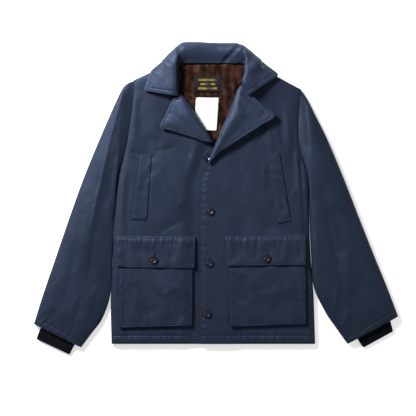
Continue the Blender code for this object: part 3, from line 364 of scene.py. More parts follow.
POCKET_FOLDS = [
    Fold(-0.196, -0.208, -0.160, -0.290, 0.009, -0.0013, 0.3),
    Fold(-0.170, -0.196, -0.130, -0.240, 0.009, 0.0010, -0.3),
    Fold(-0.130, -0.240, -0.092, -0.215, 0.009, 0.0009),
    Fold(-0.232, -0.262, -0.228, -0.314, 0.006, -0.0010, 0.3),
    Fold(-0.120, -0.260, -0.085, -0.300, 0.014, -0.0009),
    Fold(-0.200, -0.250, -0.210, -0.305, 0.010, 0.0008),
    Fold(0.036, -0.186, 0.086, -0.236, 0.009, -0.0014, 0.3),
    Fold(0.060, -0.180, 0.100, -0.200, 0.012, 0.0009),
    Fold(0.136, -0.166, 0.160, -0.216, 0.008, 0.0011, 0.3),
    Fold(0.100, -0.235, 0.160, -0.205, 0.011, -0.0009),
    Fold(0.200, -0.205, 0.212, -0.280, 0.007, -0.0013, -0.3),
    Fold(0.070, -0.255, 0.090, -0.305, 0.012, 0.0008),
    Fold(0.150, -0.240, 0.176, -0.300, 0.012, -0.0009),
]
FLAP_FOLDS = [
    Fold(-0.232, -0.098, -0.222, -0.168, 0.007, -0.0010, 0.3),
    Fold(-0.205, -0.098, -0.212, -0.150, 0.008, 0.0009),
    Fold(-0.182, -0.098, -0.160, -0.140, 0.007, -0.0011, 0.3),
    Fold(-0.148, -0.122, -0.120, -0.160, 0.009, 0.0008),
    Fold(-0.104, -0.098, -0.112, -0.150, 0.008, -0.0008, 0.3),
    Fold(-0.075, -0.098, -0.070, -0.150, 0.008, 0.0007),
    Fold(0.040, -0.098, 0.052, -0.150, 0.007, -0.0010, 0.3),
    Fold(0.066, -0.096, 0.082, -0.140, 0.008, 0.0009),
    Fold(0.104, -0.096, 0.096, -0.150, 0.007, -0.0011, 0.3),
    Fold(0.146, -0.098, 0.160, -0.150, 0.007, -0.0010, 0.3),
    Fold(0.180, -0.096, 0.170, -0.150, 0.008, 0.0009),
    Fold(0.206, -0.096, 0.212, -0.150, 0.006, -0.0009),
]
SLEEVE_FOLDS = [
    Fold(-0.236, 0.262, -0.288, 0.040, 0.020, 0.0026),
    Fold(-0.288, 0.040, -0.320, -0.120, 0.022, 0.0020),
    Fold(-0.272, -0.050, -0.285, -0.240, 0.024, -0.0028),
    Fold(-0.350, -0.120, -0.400, -0.270, 0.028, -0.0014),
    Fold(0.290, -0.020, 0.318, -0.140, 0.020, -0.0022),
    Fold(0.322, -0.130, 0.332, -0.240, 0.016, 0.0022),
    Fold(0.360, -0.190, 0.345, -0.280, 0.018, -0.0018),
    Fold(0.265, 0.110, 0.325, -0.020, 0.026, 0.0014),
]
FINE_SLEEVE_FOLDS = [
    Fold(-0.232, 0.276, -0.270, 0.123, 0.0045, 0.0026, 0.3),
    Fold(-0.270, 0.123, -0.300, -0.015, 0.0050, 0.0024, 0.3),
    Fold(-0.300, -0.015, -0.312, -0.080, 0.0080, 0.0016, 0.3),
    Fold(-0.252, 0.120, -0.268, 0.000, 0.0100, -0.0018, -0.2),
    Fold(-0.262, -0.010, -0.268, -0.070, 0.0080, 0.0010),
    Fold(-0.300, -0.060, -0.318, -0.200, 0.0110, -0.0016, 0.3),
    Fold(-0.326, -0.070, -0.350, -0.210, 0.0120, 0.0012, -0.2),
    Fold(-0.352, -0.150, -0.376, -0.260, 0.0100, -0.0010, 0.2),
    Fold(-0.300, -0.220, -0.330, -0.310, 0.0100, 0.0012, -0.3),
    Fold(-0.335, -0.240, -0.362, -0.330, 0.0080, -0.0011, 0.3),
    Fold(-0.396, -0.200, -0.420, -0.290, 0.0110, 0.0009),
    Fold(-0.300, 0.090, -0.330, 0.030, 0.0140, -0.0008),
    Fold(0.302, -0.150, 0.308, -0.205, 0.0060, -0.0016, 0.2),
    Fold(0.3085, -0.170, 0.3070, -0.205, 0.0060, 0.0014, -0.2),
    Fold(0.3070, -0.205, 0.2915, -0.294, 0.0070, 0.0016, -0.2),
    Fold(0.276, -0.040, 0.298, -0.152, 0.0080, -0.0014, 0.3),
    Fold(0.290, -0.060, 0.312, -0.140, 0.0090, 0.0012),
    Fold(0.328, -0.275, 0.316, -0.316, 0.0070, 0.0014, 0.3),
    Fold(0.340, -0.215, 0.398, -0.252, 0.0110, -0.0012, 0.3),
    Fold(0.350, -0.240, 0.402, -0.282, 0.0090, 0.0008),
    Fold(0.330, -0.150, 0.352, -0.230, 0.0100, 0.0010, -0.3),
    Fold(0.262, 0.030, 0.276, -0.060, 0.0090, -0.0012, 0.2),
    Fold(0.246, -0.020, 0.252, -0.140, 0.0080, 0.0012, 0.2),
    Fold(0.258, 0.200, 0.280, 0.110, 0.0120, -0.0009),
    Fold(0.222, 0.245, 0.232, 0.120, 0.0060, -0.0011, -0.3),
    Fold(0.300, 0.080, 0.340, -0.010, 0.0160, 0.0009),
]
BACK_FOLDS = [
    Fold(-0.190, 0.180, -0.120, 0.060, 0.016, 0.0018, 0.3),
    Fold(0.180, 0.170, 0.110, 0.050, 0.016, 0.0018, -0.3),
    Fold(-0.060, 0.230, -0.020, 0.080, 0.014, 0.0012),
    Fold(0.050, 0.240, 0.020, 0.100, 0.014, 0.0012),
    Fold(-0.240, 0.020, -0.170, -0.060, 0.012, 0.0016, 0.3),
    Fold(0.225, 0.010, 0.150, -0.070, 0.012, 0.0016, -0.3),
    Fold(-0.150, -0.080, -0.120, -0.260, 0.018, 0.0014),
    Fold(0.120, -0.060, 0.150, -0.270, 0.018, 0.0014),
    Fold(-0.020, -0.040, 0.010, -0.220, 0.016, 0.0012, 0.2),
    Fold(-0.215, -0.180, -0.205, -0.320, 0.012, 0.0012),
    Fold(0.205, -0.180, 0.200, -0.320, 0.012, 0.0012),
]

# Where the seams' stitching runs, measured in from an edge
EDGE_STITCH = 0.0030
SECOND_STITCH = 0.0095
HEM_STITCH = 0.0205
SLEEVE_HEM_STITCH = 0.0145
PLACKET_STITCH = 0.0055
STITCH_PITCH = 0.0034
STITCH_LENGTH = 0.0025
STITCH_WIDTH = 0.0006

# The corners of a stitch's faces
STITCH_FACES = ((0, 2, 4), (2, 1, 4), (1, 3, 4), (3, 0, 4), (2, 0, 5), (1, 2, 5), (3, 1, 5), (0, 3, 5))

# The pile of the lining
PILE_TUFTS = 42000
PILE_LENGTH = 0.0085
PILE_WIDTH = 0.00075

# Colours in linear light
NAVY = (0.0100, 0.0138, 0.0262)
NAVY_LIGHT = (0.0140, 0.0188, 0.0345)
NAVY_TINT = (0.46, 0.62, 1.0)
# The collar and lapels: the same navy cotton painted lighter, a painted highlight for the light and sheen
# these raised pieces catch
FACING_PAINTED_LIT = (0.0150, 0.0212, 0.0395)
FACING_PAINTED_LIT_LIGHT = (0.0205, 0.0285, 0.0520)
RIB = (0.0012, 0.0015, 0.0030)
RIB_LIGHT = (0.0030, 0.0038, 0.0066)
THREAD = (0.0300, 0.0380, 0.0640)
PILE = (0.0080, 0.0028, 0.0020)
# The pile's lighter end: partly its own uneven tone, partly painted highlight streaks
PILE_LIGHT_AND_HIGHLIGHT = (0.0800, 0.0330, 0.0235)
HORN = (0.0040, 0.0034, 0.0085)
HORN_LIGHT = (0.0300, 0.0240, 0.0600)
WOVEN = (0.0045, 0.0050, 0.0100)
MUSTARD = (0.5600, 0.3900, 0.0300)
TAPE = (0.8000, 0.8000, 0.7900)
FLOOR = (0.9200, 0.9200, 0.9200)
FLOOR_GLOW = 0.55
COLLAR_FOLDS = [
    Fold(-0.152, 0.334, -0.130, 0.306, 0.005, -0.0008, 0.3),
    Fold(-0.118, 0.300, -0.124, 0.262, 0.010, 0.0005, 0.3),
    Fold(0.0640, 0.3880, 0.0150, 0.3380, 0.0055, -0.0042, 0.3),
    Fold(0.0665, 0.3820, 0.0712, 0.3400, 0.0038, -0.0030, -0.3),
    Fold(0.0440, 0.3600, 0.0560, 0.3400, 0.0070, 0.0012),
    Fold(-0.0905, 0.3860, -0.0905, 0.2620, 0.0065, -0.0034, 0.2),
    Fold(-0.060, 0.382, -0.050, 0.340, 0.010, 0.0009),
    Fold(0.000, 0.384, 0.010, 0.342, 0.012, -0.0009),
    Fold(0.076, 0.340, 0.110, 0.290, 0.010, -0.0012, 0.3),
    Fold(0.090, 0.340, 0.128, 0.305, 0.010, 0.0010),
    Fold(0.084, 0.300, 0.100, 0.268, 0.008, 0.0010, -0.3),
    Fold(0.112, 0.286, 0.124, 0.266, 0.008, -0.0009),
]
LAPEL_RIGHT_FOLDS = [
    Fold(-0.104, 0.240, -0.086, 0.200, 0.006, 0.0009, 0.3),
    Fold(-0.118, 0.214, -0.080, 0.192, 0.007, -0.0010, 0.3),
    Fold(-0.124, 0.196, -0.092, 0.180, 0.007, 0.0009),
    Fold(-0.070, 0.206, -0.050, 0.176, 0.008, -0.0009, 0.3),
]
LAPEL_LEFT_FOLDS = [
    Fold(0.062, 0.282, 0.122, 0.228, 0.0045, 0.0013, 0.3),
    Fold(0.056, 0.270, 0.110, 0.222, 0.0055, -0.0013, 0.3),
    Fold(0.070, 0.250, 0.092, 0.222, 0.0055, 0.0011, 0.3),
    Fold(0.058, 0.244, 0.076, 0.212, 0.0055, -0.0012, 0.3),
    Fold(0.050, 0.232, 0.062, 0.204, 0.0055, 0.0010),
    Fold(0.122, 0.222, 0.108, 0.200, 0.0055, -0.0010, 0.3),
    Fold(0.040, 0.200, 0.070, 0.176, 0.0090, 0.0008),
    Fold(0.004, 0.150, 0.030, 0.140, 0.0090, -0.0008),
]

# The solid that each cloth piece stands for
STANDS_FOR = {
    "back": "back_cloth",
    "front_right": "front_right_cloth",
    "front_left": "front_left_cloth",
    "lining": "lining_ground",
    "collar": "collar_cloth",
    "lapel_right": "lapel_right_cloth",
    "lapel_left": "lapel_left_cloth",
    "sleeve_right": "sleeve_right_cloth",
    "sleeve_left": "sleeve_left_cloth",
    "cuff_right": "cuff_right_knit",
    "cuff_left": "cuff_left_knit",
    "pocket_right": "pocket_right_cloth",
    "pocket_left": "pocket_left_cloth",
    "flap_right": "flap_right_cloth",
    "flap_left": "flap_left_cloth",
    "welt_right": "welt_right_cloth",
    "welt_left": "welt_left_cloth",
    "label_main": "label_main_woven",
    "label_care": "label_care_tape",
}


def smoothstep(low, high, value):
    """0 below low, 1 above high, and a smooth rise between them."""
    t = np.clip((np.asarray(value, float) - low) / (high - low), 0.0, 1.0)
    return t * t * (3.0 - 2.0 * t)


def curve_through(points, count):
    """count points, evenly spaced, on a smooth curve through the given points."""
    points = np.asarray(points, float)
    steps = np.maximum(np.linalg.norm(np.diff(points, axis=0), axis=1), 1e-9)
    knots = np.concatenate([[0.0], np.cumsum(steps)])
    slopes = np.gradient(points, knots, axis=0)
    at = np.linspace(0.0, knots[-1], 40 * len(points))
    i = np.clip(np.searchsorted(knots, at, side="right") - 1, 0, len(steps) - 1)
    t = ((at - knots[i]) / steps[i])[:, None]
    h = steps[i][:, None]
    fine = (
        (2 * t**3 - 3 * t**2 + 1) * points[i]
        + (t**3 - 2 * t**2 + t) * h * slopes[i]
        + (3 * t**2 - 2 * t**3) * points[i + 1]
        + (t**3 - t**2) * h * slopes[i + 1]
    )
    along = np.concatenate([[0.0], np.cumsum(np.linalg.norm(np.diff(fine, axis=0), axis=1))])
    even = np.linspace(0.0, along[-1], count)
    return np.stack([np.interp(even, along, fine[:, k]) for k in range(fine.shape[1])], axis=1)


def side_x(y, column):
    """The body's outline at this height up the jacket; column is right_x or left_x."""
    table = curve_through([(row.y, getattr(row, column)) for row in BODY_OUTLINE], 160)
    return np.interp(y, table[:, 0], table[:, 1])


def top_y(x):
    """The shoulder and neck line over this distance across the jacket."""
    return np.interp(x, [row.x for row in TOP_LINE], [row.y for row in TOP_LINE])

def fold_height(folds, x, y):
    """The sum of the folds' heights at a place seen from above."""
    total = np.zeros(np.broadcast(x, y).shape)
    for fold in folds:
        dx, dy = fold.x1 - fold.x0, fold.y1 - fold.y0
        length = math.hypot(dx, dy)
        along = ((x - fold.x0) * dx + (y - fold.y0) * dy) / length**2
        across = ((x - fold.x0) * dy - (y - fold.y0) * dx) / length
        width = fold.half_width * (1 - fold.skew * np.sign(across))
        fade = np.exp(-np.maximum(0.0, np.abs(along - 0.5) - 0.35) ** 2 / 0.02)
        total = total + fold.height * fade * np.exp(-((across / width) ** 2))
    return total


def unevenness(x, y, size, seed):
    """Soft bumps of about this size all over a cloth, mostly between -1 and 1."""
    chance = np.random.default_rng(seed)
    total = np.zeros(np.broadcast(x, y).shape)
    for _ in range(10):
        angle, phase = chance.uniform(0, math.tau, 2)
        turns = math.pi / (size * chance.uniform(0.7, 1.7))
        total = total + np.sin(turns * (x * math.cos(angle) + y * math.sin(angle)) + phase)
    return total / 3.2


def groove(distance, at, depth=0.00055, half_width=0.0011):
    """The line that a row of stitches presses into a padded cloth."""
    return -depth * np.exp(-(((distance - at) / half_width) ** 2))


def puckers(along, distance, reach, size, seed):
    """Short ripples along a seam that die out away from it, as a share of their height."""
    chance = np.random.default_rng(seed)
    total = np.zeros(np.broadcast(along, distance).shape)
    for _ in range(6):
        turns = math.tau / (size * chance.uniform(0.6, 1.8))
        slant = chance.uniform(-0.5, 0.5)
        total = total + np.sin(turns * (along + slant * distance) + chance.uniform(0, math.tau))
    return total / 2.4 * np.exp(-((distance / reach) ** 2))


def lift(x, y, early=0.0):
    """How far the body lies off the ground where the collar's fall is tucked under it."""
    up = smoothstep(0.215 - early, 0.305 - early, y)
    return NECK_LIFT * up * (1 - smoothstep(0.105 + early, 0.195 + early, np.abs(x + 0.008)))


def bed(x, y):
    """The height of what lies on the back panel."""
    return BACK_WALL + GAP + lift(x, y, 0.012)


def edge_round(distance, radius):
    """0 at an edge, rising as a quarter circle to 1 at the radius."""
    t = 1.0 - np.clip(distance / radius, 0.0, 1.0)
    return np.sqrt(np.maximum(0.0, 1.0 - t * t))


def front_fullness(x, y):
    """How full the fronts are: 0 at the sides and shoulders, 1 inside."""
    side = np.minimum(x - side_x(y, "right_x"), side_x(y, "left_x") - x)
    return edge_round(side, SIDE_ROUND) * edge_round(top_y(x) - y, SHOULDER_ROUND)


def front_relief(x, y):
    """The fine creases, hem groove and puckers of the fronts."""
    up = y - HEM_Y
    relief = fold_height(FINE_BODY_FOLDS, x, y)
    relief = relief + 0.00036 * unevenness(1.3 * x, 0.7 * y, 0.034, 3) + 0.00012 * unevenness(x, y, 0.014, 4)
    relief = relief + 0.00050 * puckers(x, up - HEM_STITCH, 0.013, 0.013, 5)
    relief = relief + groove(up, HEM_STITCH, 0.0009, 0.0017) + groove(up, 0.002, 0.0003)
    side = np.minimum(x - side_x(y, "right_x"), side_x(y, "left_x") - x)
    return relief + 0.00028 * puckers(y, side, 0.012, 0.030, 6)


def front_outside(x, y):
    """The outer face of the fronts, before one laps over the other."""
    base = bed(x, y)
    seam = base + SEAM_WALL + 0.0025 * smoothstep(ARMPIT_Y - 0.03, ARMPIT_Y + 0.05, y)
    full = base + FRONT_WALL + fold_height(BODY_FOLDS, x, y) + front_relief(x, y)
    hem = 0.0026 * (1 - edge_round(y - HEM_Y, 0.010))
    return seam + (full - seam) * front_fullness(x, y) - hem


def closing_edge(y):
    """Where the left front's edge lies on the right front."""
    return np.interp(y, [0.010, 0.045, 0.077, 0.117, 0.150], [-0.0380, -0.0345, -0.0235, -0.0100, 0.004])


def under_outside(x, y):
    """The outer face of the right front, pressed thin where the left one laps over it."""
    share = smoothstep(-0.048, -0.016, x - closing_edge(y)) * (1 - smoothstep(0.140, 0.180, y))
    return front_outside(x, y) * (1 - share) + (bed(x, y) + UNDER_STAND_WALL) * share


def over_lap(x, y):
    """1 where the left front lies on the right one."""
    return (1 - smoothstep(0.026, 0.090, x)) * (1 - smoothstep(0.150, 0.190, y))


def over_underside(x, y):
    """The inner face of the left front."""
    return bed(x, y) + (UNDER_STAND_WALL + GAP) * over_lap(x, y)


def over_outside(x, y):
    """The outer face of the left front, rounded down at its closing edge."""
    share = over_lap(x, y)
    inside = x - closing_edge(y)
    band = over_underside(x, y) + OVER_STAND_WALL + 0.7 * front_relief(x, y)
    band = band + groove(inside, PLACKET_STITCH, 0.0008, 0.0014)
    band = band + 0.0005 * puckers(y, inside - PLACKET_STITCH, 0.009, 0.016, 8)
    rounded = 0.0030 * (1 - edge_round(inside, 0.0045)) * (1 - smoothstep(0.09, 0.13, y))
    return front_outside(x, y) * (1 - share) + band * share - rounded


def outside(x, y):
    """The outer face of whichever front shows at this place."""
    return np.where(x < closing_edge(y), under_outside(x, y), over_outside(x, y))


def with_heights(plan, height):
    """Points of a plan (x, y) with a height from a function of x and y."""
    x, y = plan[..., 0], plan[..., 1]
    return np.stack([x, y, height(x, y)], axis=-1)


def grid_normals(grid):
    """A direction out of the cloth at each point, upwards on the whole."""
    normal = np.cross(np.gradient(grid, axis=0), np.gradient(grid, axis=1))
    normal /= np.maximum(np.linalg.norm(normal, axis=-1, keepdims=True), 1e-12)
    return normal if normal[..., 2].mean() > 0 else -normal


def edge_shares(length, step, edges, ends=(True, True)):
    """Shares from 0 to 1: at these distances in from the ends, and every step in between."""
    low = [d for d in edges if d < length / 3] if ends[0] else [0.0]
    high = [length - d for d in edges if d < length / 3] if ends[1] else [length]
    count = max(2, int((high[-1] - low[-1]) / step))
    middle = np.linspace(low[-1], high[-1], count + 1)[1:-1]
    return np.concatenate([low, middle, high[::-1]]) / length


# Places for grid lines near an edge that has a row of stitches
FINE_EDGE = [0.0, 0.0005, 0.0012, 0.0021, 0.0030, 0.0039, 0.0050, 0.0064, 0.0080, 0.0095, 0.0110, 0.0130]


def rows_at(table, at):
    """The table's rows as numbers at these places in it, counted in rows."""
    rows = np.array([tuple(row) for row in table], float)
    slopes = np.gradient(rows, np.arange(len(rows), dtype=float), axis=0)
    i = np.clip(at.astype(int), 0, len(rows) - 2)
    t = (at - i)[:, None]
    return (
        (2 * t**3 - 3 * t**2 + 1) * rows[i]
        + (t**3 - 2 * t**2 + t) * slopes[i]
        + (3 * t**2 - 2 * t**3) * rows[i + 1]
        + (t**3 - t**2) * slopes[i + 1]
    )


def crisp_rows_at(table, at, softness):
    """The table's rows as numbers, straight between them and rounded only near each one."""
    rows = np.array([tuple(row) for row in table], float)
    index = np.arange(len(rows), dtype=float)
    steps = np.linspace(-softness, softness, 9)
    places = np.clip(at[:, None] + steps[None, :], 0, len(rows) - 1)
    return np.stack([np.interp(places, index, rows[:, k]).mean(axis=1) for k in range(rows.shape[1])], axis=1)


def mesh_piece(name, points, faces, material):
    """A piece of the jacket from points and faces, smooth, on the jacket's body."""
    mesh = bpy.data.meshes.new(name)
    mesh.from_pydata(points, [], faces)
    shape = bmesh.new()
    shape.from_mesh(mesh)
    bmesh.ops.recalc_face_normals(shape, faces=shape.faces)
    shape.to_mesh(mesh)
    shape.free()
    mesh.shade_smooth()
    mesh.materials.append(material)
    piece = bpy.data.objects.new(name, mesh)
    bpy.context.scene.collection.objects.link(piece)
    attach(piece, "root")
    return piece


def grid_faces(rows, columns, start=0, closed=False):
    """The four-sided faces of a grid of points; a closed one joins its last column to its first."""
    i, j = np.meshgrid(np.arange(rows - 1), np.arange(columns if closed else columns - 1), indexing="ij")
    k = (j + 1) % columns
    here, above = i * columns, (i + 1) * columns
    faces = np.stack([here + j, here + k, above + k, above + j], axis=-1)
    return (faces.reshape(-1, 4) + start).tolist()


def band_faces(first, second, closed=True):
    """Faces between two lines of points that run side by side."""
    count = len(first) if closed else len(first) - 1
    return [
        (first[i], first[(i + 1) % len(first)], second[(i + 1) % len(first)], second[i])
        for i in range(count)
    ]


def border(rows, columns):
    """The places of a grid's outer points, once round."""
    grid = np.arange(rows * columns).reshape(rows, columns)
    return np.concatenate([grid[0, :-1], grid[:-1, -1], grid[-1, :0:-1], grid[:0:-1, 0]])


def outward(line):
    """At each point of a closed line seen from above, the level direction out of it."""
    tangent = np.roll(line, -1, axis=0) - np.roll(line, 1, axis=0)
    out = np.stack([tangent[:, 1], -tangent[:, 0], np.zeros(len(line))], axis=1)
    out /= np.maximum(np.linalg.norm(out, axis=1, keepdims=True), 1e-12)
    area = np.sum(line[:, 0] * np.roll(line[:, 1], -1) - np.roll(line[:, 0], -1) * line[:, 1])
    return out if area > 0 else -out


def wall(name, outer, inner, material, rim=((0.5, 0.0004),)):
    """A closed shell: an outer face, an inner face and a rim between them. Each rim entry gives
    how far down the rim a line of points lies, and how far it stands out."""
    rows, columns = outer.shape[:2]
    count = rows * columns
    edge = border(rows, columns)
    high = outer.reshape(-1, 3)[edge]
    low = inner.reshape(-1, 3)[edge]
    out = outward(high)
    lines = [high + (low - high) * share + out * stands for share, stands in rim]
    points = np.concatenate([outer.reshape(-1, 3), inner.reshape(-1, 3), *lines])
    rings = [edge, *[2 * count + n * len(edge) + np.arange(len(edge)) for n in range(len(rim))], count + edge]
    faces = grid_faces(rows, columns) + grid_faces(rows, columns, count)
    for first, second in zip(rings, rings[1:]):
        faces += band_faces(first.tolist(), second.tolist())
    return mesh_piece(name, points.tolist(), faces, material)


def tube(name, outer, inner, material):
    """A closed shell in the round, open at both ends. Each row is one ring."""
    rows, columns = outer.shape[:2]
    count = rows * columns
    points = np.concatenate([outer.reshape(-1, 3), inner.reshape(-1, 3)])
    faces = grid_faces(rows, columns, 0, True) + grid_faces(rows, columns, count, True)
    for start in (0, (rows - 1) * columns):
        ring = start + np.arange(columns)
        faces += band_faces(ring.tolist(), (ring + count).tolist())
    return mesh_piece(name, points.tolist(), faces, material)


def line_on(grid, edge, inset, trims=(0.0, 0.0)):
    """Points and directions out of the cloth along a line that runs inside one edge of a grid."""
    both = np.concatenate([grid, grid_normals(grid)], axis=-1)
    if edge in ("first_row", "last_row"):
        both = both.transpose(1, 0, 2)
    if edge in ("last_row", "last_column"):
        both = both[:, ::-1]
    line = []
    for row in both:
        along = np.concatenate([[0.0], np.cumsum(np.linalg.norm(np.diff(row[:, :3], axis=0), axis=1))])
        line.append([np.interp(inset, along, row[:, k]) for k in range(6)])
    line = np.array(line)
    along = np.concatenate([[0.0], np.cumsum(np.linalg.norm(np.diff(line[:, :3], axis=0), axis=1))])
    keep = (along >= trims[0]) & (along <= along[-1] - trims[1])
    return line[keep]


def line_over(places, height, step=0.003):
    """Points and directions out of the cloth along a line given from above, on a face."""
    places = np.asarray(places, float)
    along = np.concatenate([[0.0], np.cumsum(np.linalg.norm(np.diff(places, axis=0), axis=1))])
    at = np.linspace(0, along[-1], max(2, int(along[-1] / step)))
    x = np.interp(at, along, places[:, 0])
    y = np.interp(at, along, places[:, 1])
    z = height(x, y)
    reach = 0.0008
    slope_x = (height(x + reach, y) - height(x - reach, y)) / (2 * reach)
    slope_y = (height(x, y + reach) - height(x, y - reach)) / (2 * reach)
    normal = np.stack([-slope_x, -slope_y, np.ones_like(x)], axis=1)
    normal /= np.linalg.norm(normal, axis=1, keepdims=True)
    return np.column_stack([x, y, z, normal])


def thread_marks(name, lines, material, pitch=STITCH_PITCH, length=STITCH_LENGTH, width=STITCH_WIDTH):
    """Rows of stitches: small raised lozenges along lines of points and directions out."""
    points = []
    faces = []
    for line in lines:
        along = np.concatenate([[0.0], np.cumsum(np.linalg.norm(np.diff(line[:, :3], axis=0), axis=1))])
        for at in np.arange(pitch / 2, along[-1], pitch):
            here = np.array([np.interp(at, along, line[:, k]) for k in range(6)])
            ahead = np.array([np.interp(at + 0.0005, along, line[:, k]) for k in range(3)])
            behind = np.array([np.interp(at - 0.0005, along, line[:, k]) for k in range(3)])
            tangent = ahead - behind
            tangent /= max(np.linalg.norm(tangent), 1e-9)
            place, normal = here[:3], here[3:] / np.linalg.norm(here[3:])
            across = np.cross(normal, tangent)
            start = len(points)
            points += [
                place + tangent * length / 2 - normal * 0.0002,
                place - tangent * length / 2 - normal * 0.0002,
                place + across * width / 2,
                place - across * width / 2,
                place + normal * width * 0.7,
                place - normal * width * 0.5,
            ]
            for a, b, c in STITCH_FACES:
                faces.append((start + a, start + b, start + c))
    return mesh_piece(name, [tuple(p) for p in points], faces, material)


def front_plan(table, column, levels, near_edge):
    """Where a front's points lie, seen from above, from the side to the closing edge."""
    rows = []
    for side_y, edge_x, edge_y, rolled in rows_at(table, levels):
        side = np.array([float(side_x(side_y, column)), side_y])
        edge = np.array([edge_x, edge_y])
        rows.append((side, edge, ROLL_INSET * np.clip(rolled, 0.0, 1.0)))
    length = float(np.linalg.norm(rows[0][1] - rows[0][0]))
    near_side = [0.0, 0.0006, 0.0016, 0.0032, 0.0055, 0.0085, 0.0120]
    low = np.array(near_side)
    high = length - np.array(near_edge)[::-1]
    middle = np.linspace(low[-1], high[0], int((high[0] - low[-1]) / 0.0028))[1:-1]
    shares = np.concatenate([low, middle, high]) / length
    plan = []
    for side, edge, inset in rows:
        reach = float(np.linalg.norm(edge - side))
        plan.append(side + shares[:, None] * (1 - inset / reach) * (edge - side))
    return np.array(plan)


def front_levels(table):
    """Places in a front's table for its rows, closer together at the hem."""
    first = (table[1].side_y - table[0].side_y)
    hem = [0.0, 0.0006, 0.0015, 0.003, 0.005, 0.008, 0.012, 0.0155, 0.018, 0.0195, 0.0205, 0.0215, 0.023]
    low = np.array(hem) / first
    return np.concatenate([low, np.linspace(low[-1], len(table) - 1, 230)[1:]])


def make_back(material):
    """The whole back, lying on the ground, with soft creases across its outer face."""
    plan = []
    for level in np.concatenate([np.linspace(0.0, 0.06, 10), np.linspace(0.06, 1.0, 118)[1:]]):
        right_y = HEM_Y + level * (SHOULDER_RIGHT_Y - HEM_Y)
        left_y = HEM_Y + level * (SHOULDER_LEFT_Y - HEM_Y)
        right = np.array([float(side_x(right_y, "right_x")), right_y])
        left = np.array([float(side_x(left_y, "left_x")), left_y])
        at = edge_shares(float(np.linalg.norm(left - right)), 0.0048, [0.0, 0.0012, 0.003, 0.006])
        at = np.interp(np.linspace(0, 1, 104), np.linspace(0, 1, len(at)), at)
        row = right + at[:, None] * (left - right)
        chord = SHOULDER_RIGHT_Y + at * (SHOULDER_LEFT_Y - SHOULDER_RIGHT_Y)
        row[:, 1] += np.maximum(top_y(row[:, 0]) - chord, 0.0) * smoothstep(0.35, 1.0, level)
        plan.append(row)
    plan = np.array(plan)
    outer = with_heights(plan, back_outside)
    inner = with_heights(plan, lambda x, y: lift(x, y) + BACK_WALL)
    wall("back_cloth", outer, inner, material)
    hem = line_on(outer, "first_row", HEM_STITCH)
    hem[:, 3:] = (0, 0, -1)
    return [hem]


def back_outside(x, y):
    """The back's outer face, which lies on the ground: creases stand off it, and nothing is below it."""
    side = np.minimum(x - side_x(y, "right_x"), side_x(y, "left_x") - x)
    edge = 0.0016 * (1 - edge_round(np.minimum(side, y - HEM_Y), 0.006))
    crease = np.maximum(fold_height(BACK_FOLDS, x, y) + 0.0006 * unevenness(x, y, 0.040, 11), 0.0)
    hem = 0.0006 * np.exp(-(((y - HEM_Y - HEM_STITCH) / 0.0022) ** 2))
    return lift(x, y) + edge + np.minimum(crease, 0.0034) + hem


def make_fronts(material):
    """The right front and, lapping over it, the left front. Gives their rows of stitches."""
    under = front_plan(UNDER_FRONT, "right_x", front_levels(UNDER_FRONT), [0.0, 0.004, 0.010])
    under_face = with_heights(under, under_outside)
    wall("front_right_cloth", under_face, with_heights(under, bed), material)
    near_edge = [0.0, 0.0004, 0.0010, 0.0018, 0.0028, 0.0040, 0.0048, 0.0055, 0.0062, 0.0074, 0.0095, 0.012]
    over = front_plan(OVER_FRONT, "left_x", front_levels(OVER_FRONT), near_edge)
    over_face = with_heights(over, over_outside)
    wall("front_left_cloth", over_face, with_heights(over, over_underside), material)
    hem_y = HEM_Y + HEM_STITCH
    placket_top = 0.040
    placket = [(closing_edge(y) + PLACKET_STITCH, y) for y in np.linspace(HEM_Y + 0.003, placket_top, 60)]
    return [
        line_over([(-0.2585, hem_y), (-0.0395, hem_y)], under_outside),
        line_over([(-0.0365, hem_y), (0.2460, hem_y)], over_outside),
        line_over(placket, over_outside),
    ]


def roll_x(y, column):
    """Where the front on this side rolls open at this height up the jacket."""
    return np.interp(y, [row.y for row in ROLL_LINE], [getattr(row, column) for row in ROLL_LINE])


def pile_tips(x, y):
    """The tips of the lining's pile."""
    return bed(x, y) + LINING_WALL


def pile_ground(x, y):
    """The ground of the lining's pile, below its tips."""
    return bed(x, y) + 0.55 * LINING_WALL + 0.0005 * unevenness(x, y, 0.016, 21)


